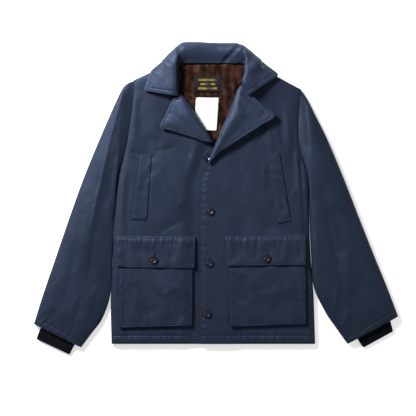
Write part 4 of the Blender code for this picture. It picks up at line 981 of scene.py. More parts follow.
def make_lining(material):
    """The pile lining on the back, as far as it shows: its ground, and tufts all over it."""
    y = np.linspace(0.148, 0.3360, 70)[:, None]
    right = roll_x(y, "right_x") - 0.003
    left = roll_x(y, "left_x") + 0.003
    x = right + (left - right) * np.linspace(0.0, 1.0, 60)
    plan = np.stack([x, np.broadcast_to(y, x.shape)], axis=-1)
    wall("lining_ground", with_heights(plan, pile_ground), with_heights(plan, bed), material)
    chance = np.random.default_rng(31)
    y = 0.150 + 0.183 * np.sqrt(chance.uniform(0.0, 1.0, PILE_TUFTS))
    right = roll_x(y, "right_x") + 0.001
    left = roll_x(y, "left_x") - 0.001
    x = right + (left - right) * chance.uniform(0.0, 1.0, PILE_TUFTS)
    bare = np.zeros(PILE_TUFTS, bool)
    for label in (LABEL_MAIN, LABEL_CARE):
        beside = (x > label.x0 - 0.001) & (x < label.x1 + 0.001)
        bare |= beside & (y < label.y0 + 0.001) & (y > label.y3 - 0.003)
    x, y = x[~bare], y[~bare]
    count = len(x)
    root = np.stack([x, y, pile_ground(x, y) - 0.0004], axis=1)
    heading = -math.pi / 2 + 0.9 * unevenness(x, y, 0.020, 22) + chance.normal(0.0, 0.35, count)
    lean = np.clip(0.9 + 0.35 * unevenness(x, y, 0.012, 23) + chance.normal(0, 0.1, count), 0.2, 1.35)
    reach = PILE_LENGTH * chance.uniform(0.6, 1.0, count)
    flow = np.stack([np.cos(heading) * np.sin(lean), np.sin(heading) * np.sin(lean), np.cos(lean)], axis=1)
    bent = np.stack([flow[:, 0] * 1.3, flow[:, 1] * 1.3, flow[:, 2] * 0.35], axis=1)
    across = np.stack([-np.sin(heading), np.cos(heading), np.zeros(count)], axis=1)
    across = across * PILE_WIDTH / 2
    middle = root + flow * reach[:, None] * 0.5
    tip = middle + bent * reach[:, None] * 0.5
    narrower = across * 0.8
    corners = [root - across, root + across, middle + narrower, middle - narrower, tip]
    points = np.stack(corners, axis=1)
    start = 5 * np.arange(count)
    quads = np.stack([start, start + 1, start + 2, start + 3], axis=1).tolist()
    tips = np.stack([start + 3, start + 2, start + 4], axis=1).tolist()
    tufts = mesh_piece("lining_pile", points.reshape(-1, 3).tolist(), quads + tips, material)
    tufts.data.shade_flat()


def sheet_faces(middle, thickness, relief):
    """The outer and inner faces about the points down the middle of a cloth."""
    normal = np.cross(np.gradient(middle, axis=0), np.gradient(middle, axis=1))
    normal /= np.linalg.norm(normal, axis=-1, keepdims=True)
    if normal[:, -1, 2].mean() < 0:
        normal = -normal
    outer = middle + normal * (thickness / 2 + relief)[..., None]
    return outer, middle - normal * (thickness / 2)[..., None]


def edge_distances(middle):
    """How far each point is from the last column, and from the nearer of the two end rows."""
    across = np.linalg.norm(np.diff(middle, axis=1), axis=-1)
    from_edge = np.zeros(middle.shape[:2])
    from_edge[:, :-1] = np.cumsum(across[:, ::-1], axis=1)[:, ::-1]
    along = np.linalg.norm(np.diff(middle, axis=0), axis=-1)
    from_first = np.zeros(middle.shape[:2])
    from_first[1:] = np.cumsum(along, axis=0)
    return from_edge, np.minimum(from_first, from_first[-1:] - from_first)


def sewn_relief(from_edge, from_end, x, y, seed):
    """Grooves of a double topstitch round a turned edge, the puckers between, and soft creases."""
    near = np.minimum(from_edge, from_end)
    lines = groove(near, EDGE_STITCH, 0.00055, 0.0010) + groove(near, SECOND_STITCH, 0.00100, 0.0014)
    ripple = 0.00026 * puckers(x + y, near - 0.008, 0.012, 0.015, seed)
    return lines + ripple + 0.00034 * unevenness(x, y, 0.026, seed + 1) * smoothstep(0.0, 0.012, near)


def make_collar(material):
    """The stand and fall, as one cloth round the neck. Gives its rows of stitches."""
    fine_end = np.array([0.0, 0.03, 0.08, 0.15, 0.22, 0.29, 0.36, 0.46, 0.58, 0.70, 0.82, 0.95])
    stations = np.concatenate([fine_end, np.linspace(1.0, 19.0, 190), 20.0 - fine_end[::-1]])
    rows = crisp_rows_at(COLLAR, stations, 0.16)
    columns = 72
    middle = np.zeros((len(rows), columns, 3))
    for i, row in enumerate(rows):
        section = CollarSection(*row)
        angle = math.radians(section.facing)
        tuck = float(np.clip(section.tuck, 0.0, 1.0))
        half_way = ((section.belly_out + section.edge_out) / 2, (section.belly_z + section.edge_z) / 2)
        under = (section.belly_out - HEEL_INSIDE, section.edge_z)
        heel = tuple(flat + (folded - flat) * tuck for flat, folded in zip(half_way, under))
        line = curve_through(
            [
                (0.0, section.seam_z),
                (section.roll_out, section.roll_z),
                (section.belly_out, section.belly_z),
                heel,
                (section.edge_out, section.edge_z),
            ],
            200,
        )
        edges = np.array(FINE_EDGE)
        inside = np.linspace(0.0, 1.0 - 0.0150 / 0.11, columns - len(edges))
        at = np.concatenate([inside, 1.0 - edges[::-1] / 0.11])
        line = np.stack([np.interp(at, np.linspace(0, 1, 200), line[:, k]) for k in range(2)], axis=1)
        middle[i, :, 0] = section.seam_x + math.cos(angle) * line[:, 0]
        middle[i, :, 1] = section.seam_y + math.sin(angle) * line[:, 0]
        middle[i, :, 2] = np.maximum(line[:, 1], COLLAR_WALL / 2 + 0.0002)
    from_edge, from_end = edge_distances(middle)
    near = np.minimum(from_edge, from_end)
    thickness = 0.0018 + (COLLAR_WALL - 0.0018) * edge_round(near, 0.006)
    relief = sewn_relief(from_edge, from_end, middle[..., 0], middle[..., 1], 41)
    creases = fold_height(COLLAR_FOLDS, middle[..., 0], middle[..., 1])
    relief = relief + creases * smoothstep(0.004, 0.014, near)
    relief = np.maximum(relief, 0.0014 - COLLAR_WALL)
    outer, inner = sheet_faces(middle, thickness, relief * smoothstep(0.0, 0.002, near))
    inner[..., 2] = np.maximum(inner[..., 2], 0.0003)
    wall("collar_cloth", outer, inner, material)
    lines = []
    for inset in (EDGE_STITCH, SECOND_STITCH):
        lines.append(line_on(outer, "last_column", inset, (inset, inset)))
        lines.append(line_on(outer, "first_row", inset, (0.035, inset)))
        lines.append(line_on(outer, "last_row", inset, (0.035, inset)))
    return lines


def make_lapel(name, table, folds, seed, material):
    """A turned-back facing, with the nose of its fold. Gives its rows of stitches."""
    last = len(table) - 1
    fine_end = np.array([0.0, 0.03, 0.07, 0.12, 0.17, 0.23, 0.30, 0.38, 0.48, 0.60, 0.72, 0.85])
    rows = rows_at(table, np.concatenate([np.linspace(0.0, last - 1.0, 80)[:-1], last - fine_end[::-1]]))
    middle = np.zeros((len(rows), 56, 3))
    for i, row in enumerate(rows):
        section = LapelSection(*row)
        roll = np.array([section.roll_x, section.roll_y])
        edge = np.array([section.edge_x, section.edge_y])
        reach = float(np.linalg.norm(edge - roll))
        direction = (edge - roll) / reach
        nose = min(NOSE, 0.45 * reach)
        half = LAPEL_WALL / 2
        line = curve_through(
            [
                (nose, section.low_z),
                (half, (section.low_z + section.roll_z) / 2),
                (nose, section.roll_z),
                ((nose + reach) / 2, (section.roll_z + section.edge_z) / 2 + 0.0008),
                (reach, section.edge_z),
            ],
            200,
        )
        length = float(np.linalg.norm(np.diff(line, axis=0), axis=1).sum())
        edges = np.array(FINE_EDGE) * min(1.0, length / 0.05)
        start = np.linspace(0.0, 1.0 - (edges[-1] + 0.002) / length, 56 - len(edges))
        at = np.concatenate([start, 1.0 - edges[::-1] / length])
        line = np.stack([np.interp(at, np.linspace(0, 1, 200), line[:, k]) for k in range(2)], axis=1)
        middle[i, :, 0] = section.roll_x + direction[0] * line[:, 0]
        middle[i, :, 1] = section.roll_y + direction[1] * line[:, 0]
        middle[i, :, 2] = line[:, 1]
    from_edge, from_end = edge_distances(middle)
    near = np.minimum(from_edge, from_end)
    thickness = 0.0016 + (LAPEL_WALL - 0.0016) * edge_round(near, 0.005)
    relief = sewn_relief(from_edge, from_end, middle[..., 0], middle[..., 1], seed)
    relief = relief + fold_height(folds, middle[..., 0], middle[..., 1]) * smoothstep(0.004, 0.012, near)
    outer, inner = sheet_faces(middle, thickness, relief * smoothstep(0.0, 0.002, near))
    wall(name, outer, inner, material)
    lines = []
    for inset in (EDGE_STITCH, SECOND_STITCH):
        lines.append(line_on(outer, "last_column", inset, (0.010, inset)))
        lines.append(line_on(outer, "last_row", inset, (0.014, inset)))
    return lines


def flat_ring(half_count, roundness):
    """Places round a flat tube: across it from -1 to 1, how far to its crown, and which side."""
    t = np.arange(2 * half_count) / half_count
    above = t < 1.0
    t = np.where(above, t, 2.0 - t)
    across = 0.45 * (1 - 2 * t) + 0.55 * np.cos(math.pi * t)
    up = np.maximum(0.0, 1 - np.abs(across) ** roundness) ** (1 / roundness)
    return across, up, above


def sleeve_relief(x, y, from_hem):
    """The fine creases, hem groove and puckers of a sleeve."""
    relief = fold_height(FINE_SLEEVE_FOLDS, x, y)
    along, across = (0.42 * np.abs(x) - 0.91 * y), (0.91 * np.abs(x) + 0.42 * y)
    relief = relief + 0.00045 * unevenness(1.4 * across, 0.6 * along, 0.034, 51)
    relief = relief + 0.00016 * unevenness(1.5 * across, 0.7 * along, 0.014, 52)
    relief = relief + groove(from_hem, SLEEVE_HEM_STITCH, 0.0009, 0.0016)
    return relief + 0.0004 * puckers(x - y, from_hem - SLEEVE_HEM_STITCH, 0.012, 0.014, 53)


def make_sleeve(name, table, column, material):
    """A sleeve pressed flat, with the narrow hollow of a padded tube. Gives its hem's stitches."""
    across, up, above = flat_ring(70, SLEEVE_ROUNDNESS)
    clear = -ARMHOLE_GAP if column == "right_x" else ARMHOLE_GAP
    first_under = np.array([table[0].under_x, table[0].under_y])
    first_over = np.array([table[0].over_x, table[0].over_y])
    outer = []
    inner = []
    last = len(table) - 1
    hem = np.array([0.0, 0.006, 0.015, 0.03, 0.06, 0.10, 0.14, 0.165, 0.185, 0.205, 0.23, 0.27])
    levels = np.concatenate([np.linspace(0.0, last - 0.30, 150), last - hem[::-1]])
    rows = rows_at(table, levels)
    underarm_slopes = np.gradient(rows[:, :2], levels, axis=0)
    hem_length = math.hypot(
        (table[-1].under_x + table[-1].over_x - table[-2].under_x - table[-2].over_x) / 2,
        (table[-1].under_y + table[-1].over_y - table[-2].under_y - table[-2].over_y) / 2,
    )
    for level, row, (slope_x, slope_y) in zip(levels, rows, underarm_slopes):
        section = SleeveSection(*row)
        under = np.array([section.under_x, section.under_y])
        over = np.array([section.over_x, section.over_y])
        width = float(np.linalg.norm(over - under))
        step_x, step_y = (over - under) / width
        slant = abs(step_x * slope_y - step_y * slope_x) / math.hypot(slope_x, slope_y)
        from_hem = (last - level) * hem_length
        for rings, wall_here in ((outer, 0.0), (inner, section.wall)):
            inset = (wall_here + 0.002) / width if wall_here else 0.0
            share = inset + (across + 1) / 2 * (1 - 2 * inset)
            place = under + share[:, None] * (over - under)
            chord = first_under + share[:, None] * (first_over - first_under)
            place[:, 0] += section.follow * (side_x(chord[:, 1], column) + clear - chord[:, 0])
            alongside = (1 - smoothstep(0.3, 0.7, slant)) * (1 - smoothstep(0.0, 0.5, share))
            place[:, 0] += math.copysign(wall_here, under[0]) * alongside * min(1.0, level)
            crown = section.crown * (1 - section.sunk * (1 - share) ** 2)
            if wall_here:
                half_slit = np.maximum(crown / 2 - wall_here, 0.0008)
                height = crown / 2 + np.where(above, 1, -1) * half_slit * up
            else:
                folds = fold_height(SLEEVE_FOLDS, place[:, 0], place[:, 1])
                relief = sleeve_relief(place[:, 0], place[:, 1], from_hem)
                fade = smoothstep(0.0, 0.7, level)
                lip = 0.0018 * (1 - edge_round(from_hem, 0.004)) + 0.0006 * (1 - edge_round(from_hem, 0.0012))
                top = EDGE_RISE + (crown - EDGE_RISE) * up + (folds + relief * fade) * up - lip
                floor = EDGE_RISE * (1 - np.minimum(1.0, up * 1.9)) + lip
                floor = floor + np.clip(relief, 0.0, 0.002) * up
                height = np.where(above, top, floor)
            rings.append(np.column_stack([place, height]))
    outer, inner = np.array(outer), np.array(inner)
    tube(name, outer, inner, material)
    top_face = outer[:, 4:66]
    return [line_on(top_face, "last_row", SLEEVE_HEM_STITCH)]


def make_cuff(name, table, material):
    """A rib-knit cuff pressed flat, partly inside the sleeve, with its ribs."""
    half_count = 150
    across, up, above = flat_ring(half_count, SLEEVE_ROUNDNESS)
    up = np.where(above, up, -up)
    rib = 0.00055 * np.cos(math.tau * np.arange(2 * half_count) / 5)
    stations = rows_at(table, np.linspace(0, len(table) - 1, 26))
    outer = np.zeros((len(stations), len(across), 3))
    inner = np.zeros_like(outer)
    for i, row in enumerate(stations):
        section = CuffSection(*row)
        under = np.array([section.under_x, section.under_y])
        over = np.array([section.over_x, section.over_y])
        half = (over - under) / 2
        width = float(np.linalg.norm(half))
        end = 0.0012 * (1 - edge_round((len(stations) - 1 - i) / 4.0, 1.0))
        for ring, inset, ribbed in ((outer, end, 1.0), (inner, CUFF_WALL, 0.0)):
            share = across * (1 - 1.4 * inset / width)
            ring[i, :, :2] = (under + over) / 2 + share[:, None] * half
            full = section.thick / 2 - inset + ribbed * (rib - 0.00055)
            ring[i, :, 2] = section.middle_z + up * full
    tube(name, outer, inner, material)


def patch_plan(patch, across_steps, down_steps):
    """Points inside four corners, rows from the top edge down, at these shares of each way."""
    corners = np.array(
        [(patch.x0, patch.y0), (patch.x1, patch.y1), (patch.x2, patch.y2), (patch.x3, patch.y3)]
    )
    down = down_steps[:, None, None]
    across = across_steps[None, :, None]
    top = corners[0] + across * (corners[1] - corners[0])
    bottom = corners[3] + across * (corners[2] - corners[3])
    return top + down * (bottom - top)


def patch_grid(patch, step, edges=FINE_EDGE, top_edge=True):
    """A patch's plan with fine rows near its edges, and each point's distance from its sides and foot."""
    width = math.hypot(patch.x1 - patch.x0, patch.y1 - patch.y0)
    height = math.hypot(patch.x3 - patch.x0, patch.y3 - patch.y0)
    down = edge_shares(height, step, edges, (top_edge, True))
    plan = patch_plan(patch, edge_shares(width, step, edges), down)
    from_left = np.linalg.norm(plan - plan[:, :1], axis=-1)
    sides = np.minimum(from_left, np.linalg.norm(plan - plan[:, -1:], axis=-1))
    foot = np.linalg.norm(plan - plan[-1:], axis=-1)
    head = np.linalg.norm(plan - plan[:1], axis=-1)
    return plan, sides, foot, head


def make_pocket(name, patch, seed, material):
    """A bellows pocket: its front, and the gusset that folds in on three sides down to the panel."""
    plan, sides, foot, head = patch_grid(patch, 0.0030, top_edge=False)
    x, y = plan[..., 0], plan[..., 1]
    near = np.minimum(sides, foot)
    stand = POCKET_TOP + (POCKET_STANDS_OFF - POCKET_TOP) * smoothstep(0.0, 0.120, head)
    relief = fold_height(POCKET_FOLDS, x, y) + 0.0005 * unevenness(x, y, 0.030, seed)
    relief = relief + 0.0002 * unevenness(x, y, 0.012, seed + 1)
    relief = relief + groove(near, EDGE_STITCH, 0.0005, 0.0010)
    relief = relief + 0.0004 * puckers(x + y, near - 0.004, 0.010, 0.015, seed)
    relief = relief * smoothstep(0.0, 0.002, near)
    rounded = 0.0009 * (1 - edge_round(near, 0.0022))
    face = with_heights(plan, outside)
    up = np.array([0, 0, 1.0])
    outer = face + up * (stand + POCKET_WALL + relief - rounded)[..., None]
    rim_here = near < 0.0018
    under = np.where(rim_here, LAID_ON_GAP, np.maximum(stand + relief - rounded, LAID_ON_GAP))
    inner = face + up * under[..., None]
    gusset = ((0.16, 0.0002), (0.34, -0.0012), (0.52, -0.0026), (0.72, -0.0012), (0.90, 0.0))
    wall(name, outer, inner, material, gusset)
    side_trims = (0.012, EDGE_STITCH)
    lines = [line_on(outer, edge, EDGE_STITCH, side_trims) for edge in ("first_column", "last_column")]
    return [*lines, line_on(outer, "last_row", EDGE_STITCH, (EDGE_STITCH, EDGE_STITCH))]


def make_flap(name, patch, seed, material):
    """A pocket flap, sewn to the panel above the pocket and lying on it."""
    plan, sides, foot, head = patch_grid(patch, 0.0028)
    x, y = plan[..., 0], plan[..., 1]
    near = np.minimum(sides, foot)
    over_pocket = POCKET_TOP + POCKET_WALL + 0.0016
    stand = LAID_ON_GAP + over_pocket * smoothstep(0.000, 0.010, head)
    stand = stand + 0.0016 * smoothstep(0.03, 0.075, head)
    relief = fold_height(FLAP_FOLDS, x, y) + 0.0004 * unevenness(x, y, 0.022, seed)
    relief = relief + groove(near, EDGE_STITCH, 0.0005, 0.0010) + groove(head, SECOND_STITCH, 0.0006, 0.0012)
    relief = relief + 0.0005 * puckers(x, head - 0.010, 0.020, 0.014, seed + 2)
    relief = relief + 0.0004 * puckers(x + y, near - 0.004, 0.008, 0.013, seed + 3)
    wave = 0.0010 * puckers(x, foot, 0.030, 0.060, seed + 4)
    off_panel = stand + np.maximum(wave, -0.0006)
    inner = with_heights(plan, outside) + np.array([0, 0, 1.0]) * off_panel[..., None]
    rounded = 0.0008 * (1 - edge_round(np.minimum(near, head), 0.0024))
    thick = FLAP_WALL + relief * smoothstep(0.0, 0.002, np.minimum(near, head)) - rounded
    outer = inner + np.array([0, 0, 1.0]) * np.maximum(thick, 0.0010)[..., None]
    wall(name, outer, inner, material)
    side_trims = (0.001, EDGE_STITCH)
    lines = [line_on(outer, edge, EDGE_STITCH, side_trims) for edge in ("first_column", "last_column")]
    lines.append(line_on(outer, "last_row", EDGE_STITCH, (EDGE_STITCH, EDGE_STITCH)))
    return [*lines, line_on(outer, "first_row", EDGE_STITCH), line_on(outer, "first_row", SECOND_STITCH)]


def make_welt(name, patch, seed, material):
    """A slanted welt over a hand pocket, edge-stitched all round."""
    plan, sides, foot, head = patch_grid(patch, 0.0024)
    x, y = plan[..., 0], plan[..., 1]
    near = np.minimum(sides, np.minimum(foot, head))
    relief = groove(near, EDGE_STITCH, 0.0004, 0.0010) + 0.0003 * unevenness(x, y, 0.015, seed)
    relief = relief + 0.00016 * puckers(y, near - 0.003, 0.006, 0.016, seed + 1)
    face = with_heights(plan, outside) + np.array([0, 0, LAID_ON_GAP])
    thick = WELT_WALL + relief * smoothstep(0, 0.002, near) - 0.0012 * (1 - edge_round(near, 0.003))
    outer = face + np.array([0, 0, 1.0]) * np.maximum(thick, 0.0006)[..., None]
    wall(name, outer, face, material)
    edges = ("first_column", "last_column", "first_row", "last_row")
    return [line_on(outer, edge, EDGE_STITCH, (EDGE_STITCH, EDGE_STITCH)) for edge in edges]


def make_labels(woven, tape, bars):
    """The two neck labels, without words: a woven one with plain bars, and a bare white one."""
    plan = patch_grid(LABEL_MAIN, 0.0022, [0.0, 0.0006, 0.0014, 0.0024])[0]
    curl = 0.0004 * unevenness(plan[..., 0], plan[..., 1], 0.018, 61)
    face = with_heights(plan, pile_tips) + np.array([0, 0, 1.0]) * (LAID_ON_GAP + np.abs(curl))[..., None]
    outer = face + np.array([0, 0, LABEL_WALL])
    wall("label_main_woven", outer, face, woven)
    width = LABEL_MAIN.x1 - LABEL_MAIN.x0
    strips = []
    for share, inset in ((0.24, 0.14), (0.52, 0.22), (0.80, 0.14)):
        y = LABEL_MAIN.y0 + share * (LABEL_MAIN.y3 - LABEL_MAIN.y0)
        for step in (-0.0022, -0.0014, -0.0007, 0.0, 0.0007, 0.0014, 0.0022):
            places = [(LABEL_MAIN.x0 + inset * width, y + step), (LABEL_MAIN.x1 - inset * width, y + step)]
            strips.append(line_over(places, lambda x, y: pile_tips(x, y) + LAID_ON_GAP + LABEL_WALL + 0.0002))
    thread_marks("label_main_bars", strips, bars, 0.0016, 0.0014, 0.0009)
    plan, _, foot, _ = patch_grid(LABEL_CARE, 0.0030, [0.0, 0.0006, 0.0014])
    shown_from = roll_x(plan[:, :1, 1], "right_x") - 0.002
    right = np.maximum(plan[:, :1, 0], shown_from)
    left = plan[:, -1:, 0]
    shares = np.linspace(0.0, 1.0, plan.shape[1])
    plan[..., 0] = right + (left - right) * shares
    curl = 0.0010 * np.exp(-foot / 0.02) * (0.5 + 0.5 * unevenness(plan[..., 0], plan[..., 1], 0.02, 62))
    face = with_heights(plan, pile_tips) + np.array([0, 0, 1.0]) * (LAID_ON_GAP + np.abs(curl))[..., None]
    wall("label_care_tape", face + np.array([0, 0, LABEL_WALL]), face, tape)
    return [line_on(outer, edge, 0.0014, (0.0014, 0.0014)) for edge in ("first_row", "last_row")]


def button_seat(button):
    """The height of a button's underside."""
    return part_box(button.name)[0].z


def make_button_threads(material):
    """Sewing thread through the holes of each button."""
    points = []
    faces = []
    reach = BUTTON_HOLE_SPACING / 2
    half = 0.00042
    for button in BUTTONS:
        top = button_seat(button) + 0.66 * BUTTON_HEIGHT
        turn = math.radians(button.turned)
        for side in (-1, 1):
            ends = np.array([(-reach, side * reach), (reach, side * reach)])
            turned = ends @ np.array([[math.cos(turn), math.sin(turn)], [-math.sin(turn), math.cos(turn)]])
            line = np.linspace(turned[0], turned[1], 7) + np.array([button.x, button.y])
            along = np.diff(turned, axis=0)[0]
            across = np.array([-along[1], along[0]]) / np.linalg.norm(along) * half
            start = len(points)
            for k, place in enumerate(line):
                height = top + 0.0007 * math.sin(math.pi * k / 6) - 0.0006
                for dx, dz in ((-1, 0), (0, 1), (1, 0), (0, -1)):
                    points.append((place[0] + across[0] * dx, place[1] + across[1] * dx, height + dz * half))
            for k in range(6):
                for n in range(4):
                    a = start + 4 * k + n
                    b = start + 4 * k + (n + 1) % 4
                    faces.append((a, b, b + 4, a + 4))
    mesh_piece("button_threads", points, faces, material)


def make_buttonholes(thread, dark):
    """Worked buttonholes: across the left front beside its buttons, and down the flaps. The slit in each is a
    row of near-black marks, painted shade in the opening.
    """
    holes = [(button.x + 0.004, button.y) for button in BUTTONS if button.carried_by == "over"]
    marks = []
    slits = []
    for x, y in holes:
        for side in (-1, 1):
            level = y + side * 0.0012
            marks.append(line_over([(x - 0.012, level), (x + 0.013, level)], over_outside))
        slits.append(line_over([(x - 0.011, y), (x + 0.012, y)], over_outside))
    for button in BUTTONS[4:]:
        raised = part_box(button.name)[0].z - GAP
        for side in (-1, 1):
            beside = button.x + side * 0.0012
            places = [(beside, button.y + 0.020), (beside, button.y - 0.004)]
            marks.append(line_over(places, lambda x, y: np.full(np.shape(x), raised)))
        places = [(button.x, button.y + 0.019), (button.x, button.y - 0.003)]
        slits.append(line_over(places, lambda x, y: np.full(np.shape(x), raised)))
    thread_marks("buttonhole_threads", marks, thread, 0.0009, 0.0008, 0.0017)
    # The slits: painted shade in the cut
    thread_marks("buttonhole_slit_shade", slits, dark, 0.0020, 0.0026, 0.0011)


class Nodes:
    """A procedural material being built."""

    def __init__(self, name):
        self.material = bpy.data.materials.new(name)
        self.material.use_nodes = True
        self.tree = self.material.node_tree
        self.shader = self.tree.nodes["Principled BSDF"]
        self.place = self.tree.nodes.new("ShaderNodeTexCoord").outputs["Object"]

    def set(self, **values):
        """Sets the shader's sockets, named with _ for a space."""
        for name, value in values.items():
            self.shader.inputs[name.replace("_", " ")].default_value = value

    def noise(self, scale, detail=2.0, stretch=None):
        """Noise at this many bumps a metre, stretched along an axis where asked."""
        node = self.tree.nodes.new("ShaderNodeTexNoise")
        node.inputs["Scale"].default_value = scale
        node.inputs["Detail"].default_value = detail
        place = self.place
        if stretch:
            mapping = self.tree.nodes.new("ShaderNodeMapping")
            mapping.inputs["Scale"].default_value = stretch
            self.tree.links.new(place, mapping.inputs["Vector"])
            place = mapping.outputs["Vector"]
        self.tree.links.new(place, node.inputs["Vector"])
        return node.outputs["Fac"]

    def wave(self, period, axis, distortion=0.0):
        """Straight threads of this period, in metres, running across an axis."""
        node = self.tree.nodes.new("ShaderNodeTexWave")
        node.bands_direction = axis
        node.inputs["Scale"].default_value = math.tau / (20 * period)
        node.inputs["Distortion"].default_value = distortion
        self.tree.links.new(self.place, node.inputs["Vector"])
        return node.outputs["Fac"]

    def math(self, kind, first, second):
        """A sum or product of two values."""
        node = self.tree.nodes.new("ShaderNodeMath")
        node.operation = kind
        for socket, value in zip(node.inputs, (first, second)):
            if isinstance(value, (int, float)):
                socket.default_value = value
            else:
                self.tree.links.new(value, socket)
        return node.outputs[0]

    def blend(self, factor, low, high, start=0.35, end=0.65):
        """A colour from low to high as the factor goes from start to end."""
        ramp = self.tree.nodes.new("ShaderNodeValToRGB")
        ramp.color_ramp.elements[0].position = start
        ramp.color_ramp.elements[0].color = (*low, 1.0)
        ramp.color_ramp.elements[1].position = end
        ramp.color_ramp.elements[1].color = (*high, 1.0)
        self.tree.links.new(factor, ramp.inputs["Fac"])
        return ramp.outputs["Color"]

    def colour(self, output):
        self.tree.links.new(output, self.shader.inputs["Base Color"])

    def roughness(self, factor, low, high):
        """Roughness from low to high with the factor."""
        node = self.tree.nodes.new("ShaderNodeMapRange")
        node.inputs["To Min"].default_value = low
        node.inputs["To Max"].default_value = high
        self.tree.links.new(factor, node.inputs["Value"])
        self.tree.links.new(node.outputs["Result"], self.shader.inputs["Roughness"])

    def bump(self, height, strength, distance):
        node = self.tree.nodes.new("ShaderNodeBump")
        node.inputs["Strength"].default_value = strength
        node.inputs["Distance"].default_value = distance
        self.tree.links.new(height, node.inputs["Height"])
        self.tree.links.new(node.outputs["Normal"], self.shader.inputs["Normal"])


def cotton(name, dark, light, roughness):
    """A tight plain weave with a dry sheen, slightly uneven in shade."""
    cloth = Nodes(name)
    cloudy = cloth.noise(16.0, 3.0)
    heather = cloth.noise(650.0, 2.0, (1.0, 0.35, 1.0))
    shade = cloth.math("ADD", cloth.math("MULTIPLY", cloudy, 0.7), cloth.math("MULTIPLY", heather, 0.3))
    cloth.colour(cloth.blend(shade, dark, light))
    weave = cloth.math("MULTIPLY", cloth.wave(0.00085, "X", 0.4), cloth.wave(0.00085, "Y", 0.4))
    slubs = cloth.noise(1400.0, 2.0, (1.0, 0.25, 1.0))
    creased = cloth.noise(120.0, 4.0)
    height = cloth.math("ADD", cloth.math("MULTIPLY", weave, 0.5), cloth.math("MULTIPLY", slubs, 0.5))
    height = cloth.math("ADD", height, cloth.math("MULTIPLY", creased, 1.6))
    cloth.bump(height, 0.55, 0.00035)
    cloth.roughness(cloth.noise(45.0, 3.0), roughness - 0.06, roughness + 0.08)
    cloth.set(
        Specular_IOR_Level=0.30,
        Specular_Tint=(*NAVY_TINT, 1.0),
        Sheen_Weight=0.03,
        Sheen_Roughness=0.45,
        Sheen_Tint=(*NAVY_TINT, 1.0),
    )
    return cloth.material


def rib_knit():
    """A dense dark rib knit."""
    knit = Nodes("rib_knit")
    knit.colour(knit.blend(knit.noise(420.0, 3.0), RIB, RIB_LIGHT))
    loops = knit.math("ADD", knit.noise(1500.0, 2.0), knit.noise(500.0, 2.0, (1.0, 1.0, 0.3)))
    knit.bump(loops, 0.7, 0.0005)
    knit.roughness(knit.noise(200.0), 0.75, 0.95)
    knit.set(Specular_IOR_Level=0.1, Sheen_Weight=0.02, Sheen_Roughness=0.6, Sheen_Tint=(0.6, 0.7, 1.0, 1.0))
    return knit.material


def brown_pile():
    """Soft brown pile in clumps, lighter at some and darker at others: partly its own uneven tone, partly
    painted highlight streaks.
    """
    pile = Nodes("brown_pile")
    flow = pile.noise(75.0, 4.0, (1.0, 0.4, 1.0))
    tone_and_highlights = pile.math("ADD", pile.math("MULTIPLY", flow, 0.7), pile.math("MULTIPLY", pile.noise(900.0), 0.3))
    pile.colour(pile.blend(tone_and_highlights, PILE, PILE_LIGHT_AND_HIGHLIGHT, 0.44, 0.66))
    pile.bump(pile.noise(1600.0, 2.0), 0.4, 0.0004)
    pile.roughness(pile.noise(300.0), 0.55, 0.8)
    pile.set(
        Specular_IOR_Level=0.15,
        Specular_Tint=(1.0, 0.6, 0.45, 1.0),
        Sheen_Weight=0.03,
        Sheen_Tint=(1.0, 0.62, 0.48, 1.0),
    )
    return pile.material


def polished_horn():
    """Dark purple-navy buttons with a faint marbling and a hard gloss."""
    horn = Nodes("button_horn")
    horn.colour(horn.blend(horn.noise(260.0, 5.0), HORN, HORN_LIGHT, 0.50, 0.72))
    horn.bump(horn.noise(700.0, 2.0), 0.08, 0.0003)
    horn.roughness(horn.noise(420.0, 3.0), 0.10, 0.26)
    horn.set(Specular_IOR_Level=0.7, Coat_Weight=0.6, Coat_Roughness=0.08)
    return horn.material


def woven_label():
    """A fine satin label in dark navy."""
    label = Nodes("woven_label")
    label.colour(label.blend(label.noise(500.0, 2.0), WOVEN, tuple(1.6 * c for c in WOVEN)))
    label.bump(label.math("MULTIPLY", label.wave(0.0006, "X"), label.wave(0.0004, "Y")), 0.4, 0.0002)
    label.roughness(label.noise(300.0), 0.4, 0.6)
    label.set(Specular_IOR_Level=0.15)
    return label.material


def white_tape():
    """A bare white satin tape."""
    label = Nodes("white_tape")
    label.colour(label.blend(label.noise(90.0, 3.0), (0.74, 0.74, 0.73), TAPE))
    label.bump(label.math("MULTIPLY", label.wave(0.0006, "X"), label.wave(0.0006, "Y")), 0.3, 0.0002)
    label.roughness(label.noise(200.0), 0.45, 0.65)
    return label.material


def sewing_thread(name, colour, light):
    """Twisted sewing thread; with near-black colours, also the painted shade in the buttonhole slits."""
    thread = Nodes(name)
    thread.colour(thread.blend(thread.noise(1200.0, 2.0), colour, light))
    thread.bump(thread.noise(4000.0, 1.0), 0.5, 0.0002)
    thread.roughness(thread.noise(600.0), 0.45, 0.65)
    thread.set(Specular_IOR_Level=0.5)
    return thread.material


def pale_floor():
    """A plain white surface under the jacket."""
    ground = Nodes("pale_floor")
    ground.colour(ground.blend(ground.noise(3.0), FLOOR, tuple(0.995 * c for c in FLOOR)))
    ground.set(
        Roughness=0.9,
        Specular_IOR_Level=0.0,
        Emission_Color=(1.0, 1.0, 1.0, 1.0),
        Emission_Strength=FLOOR_GLOW,
    )
    mesh = bpy.data.meshes.new("floor")
    reach = 6.0
    corners = [(-reach, -reach, 0), (reach, -reach, 0), (reach, reach, 0), (-reach, reach, 0)]
    mesh.from_pydata(corners, [], [(0, 1, 2, 3)])
    mesh.materials.append(ground.material)
    floor = bpy.data.objects.new("floor", mesh)
    floor.location = (0, 0, -0.0006)
    bpy.context.scene.collection.objects.link(floor)


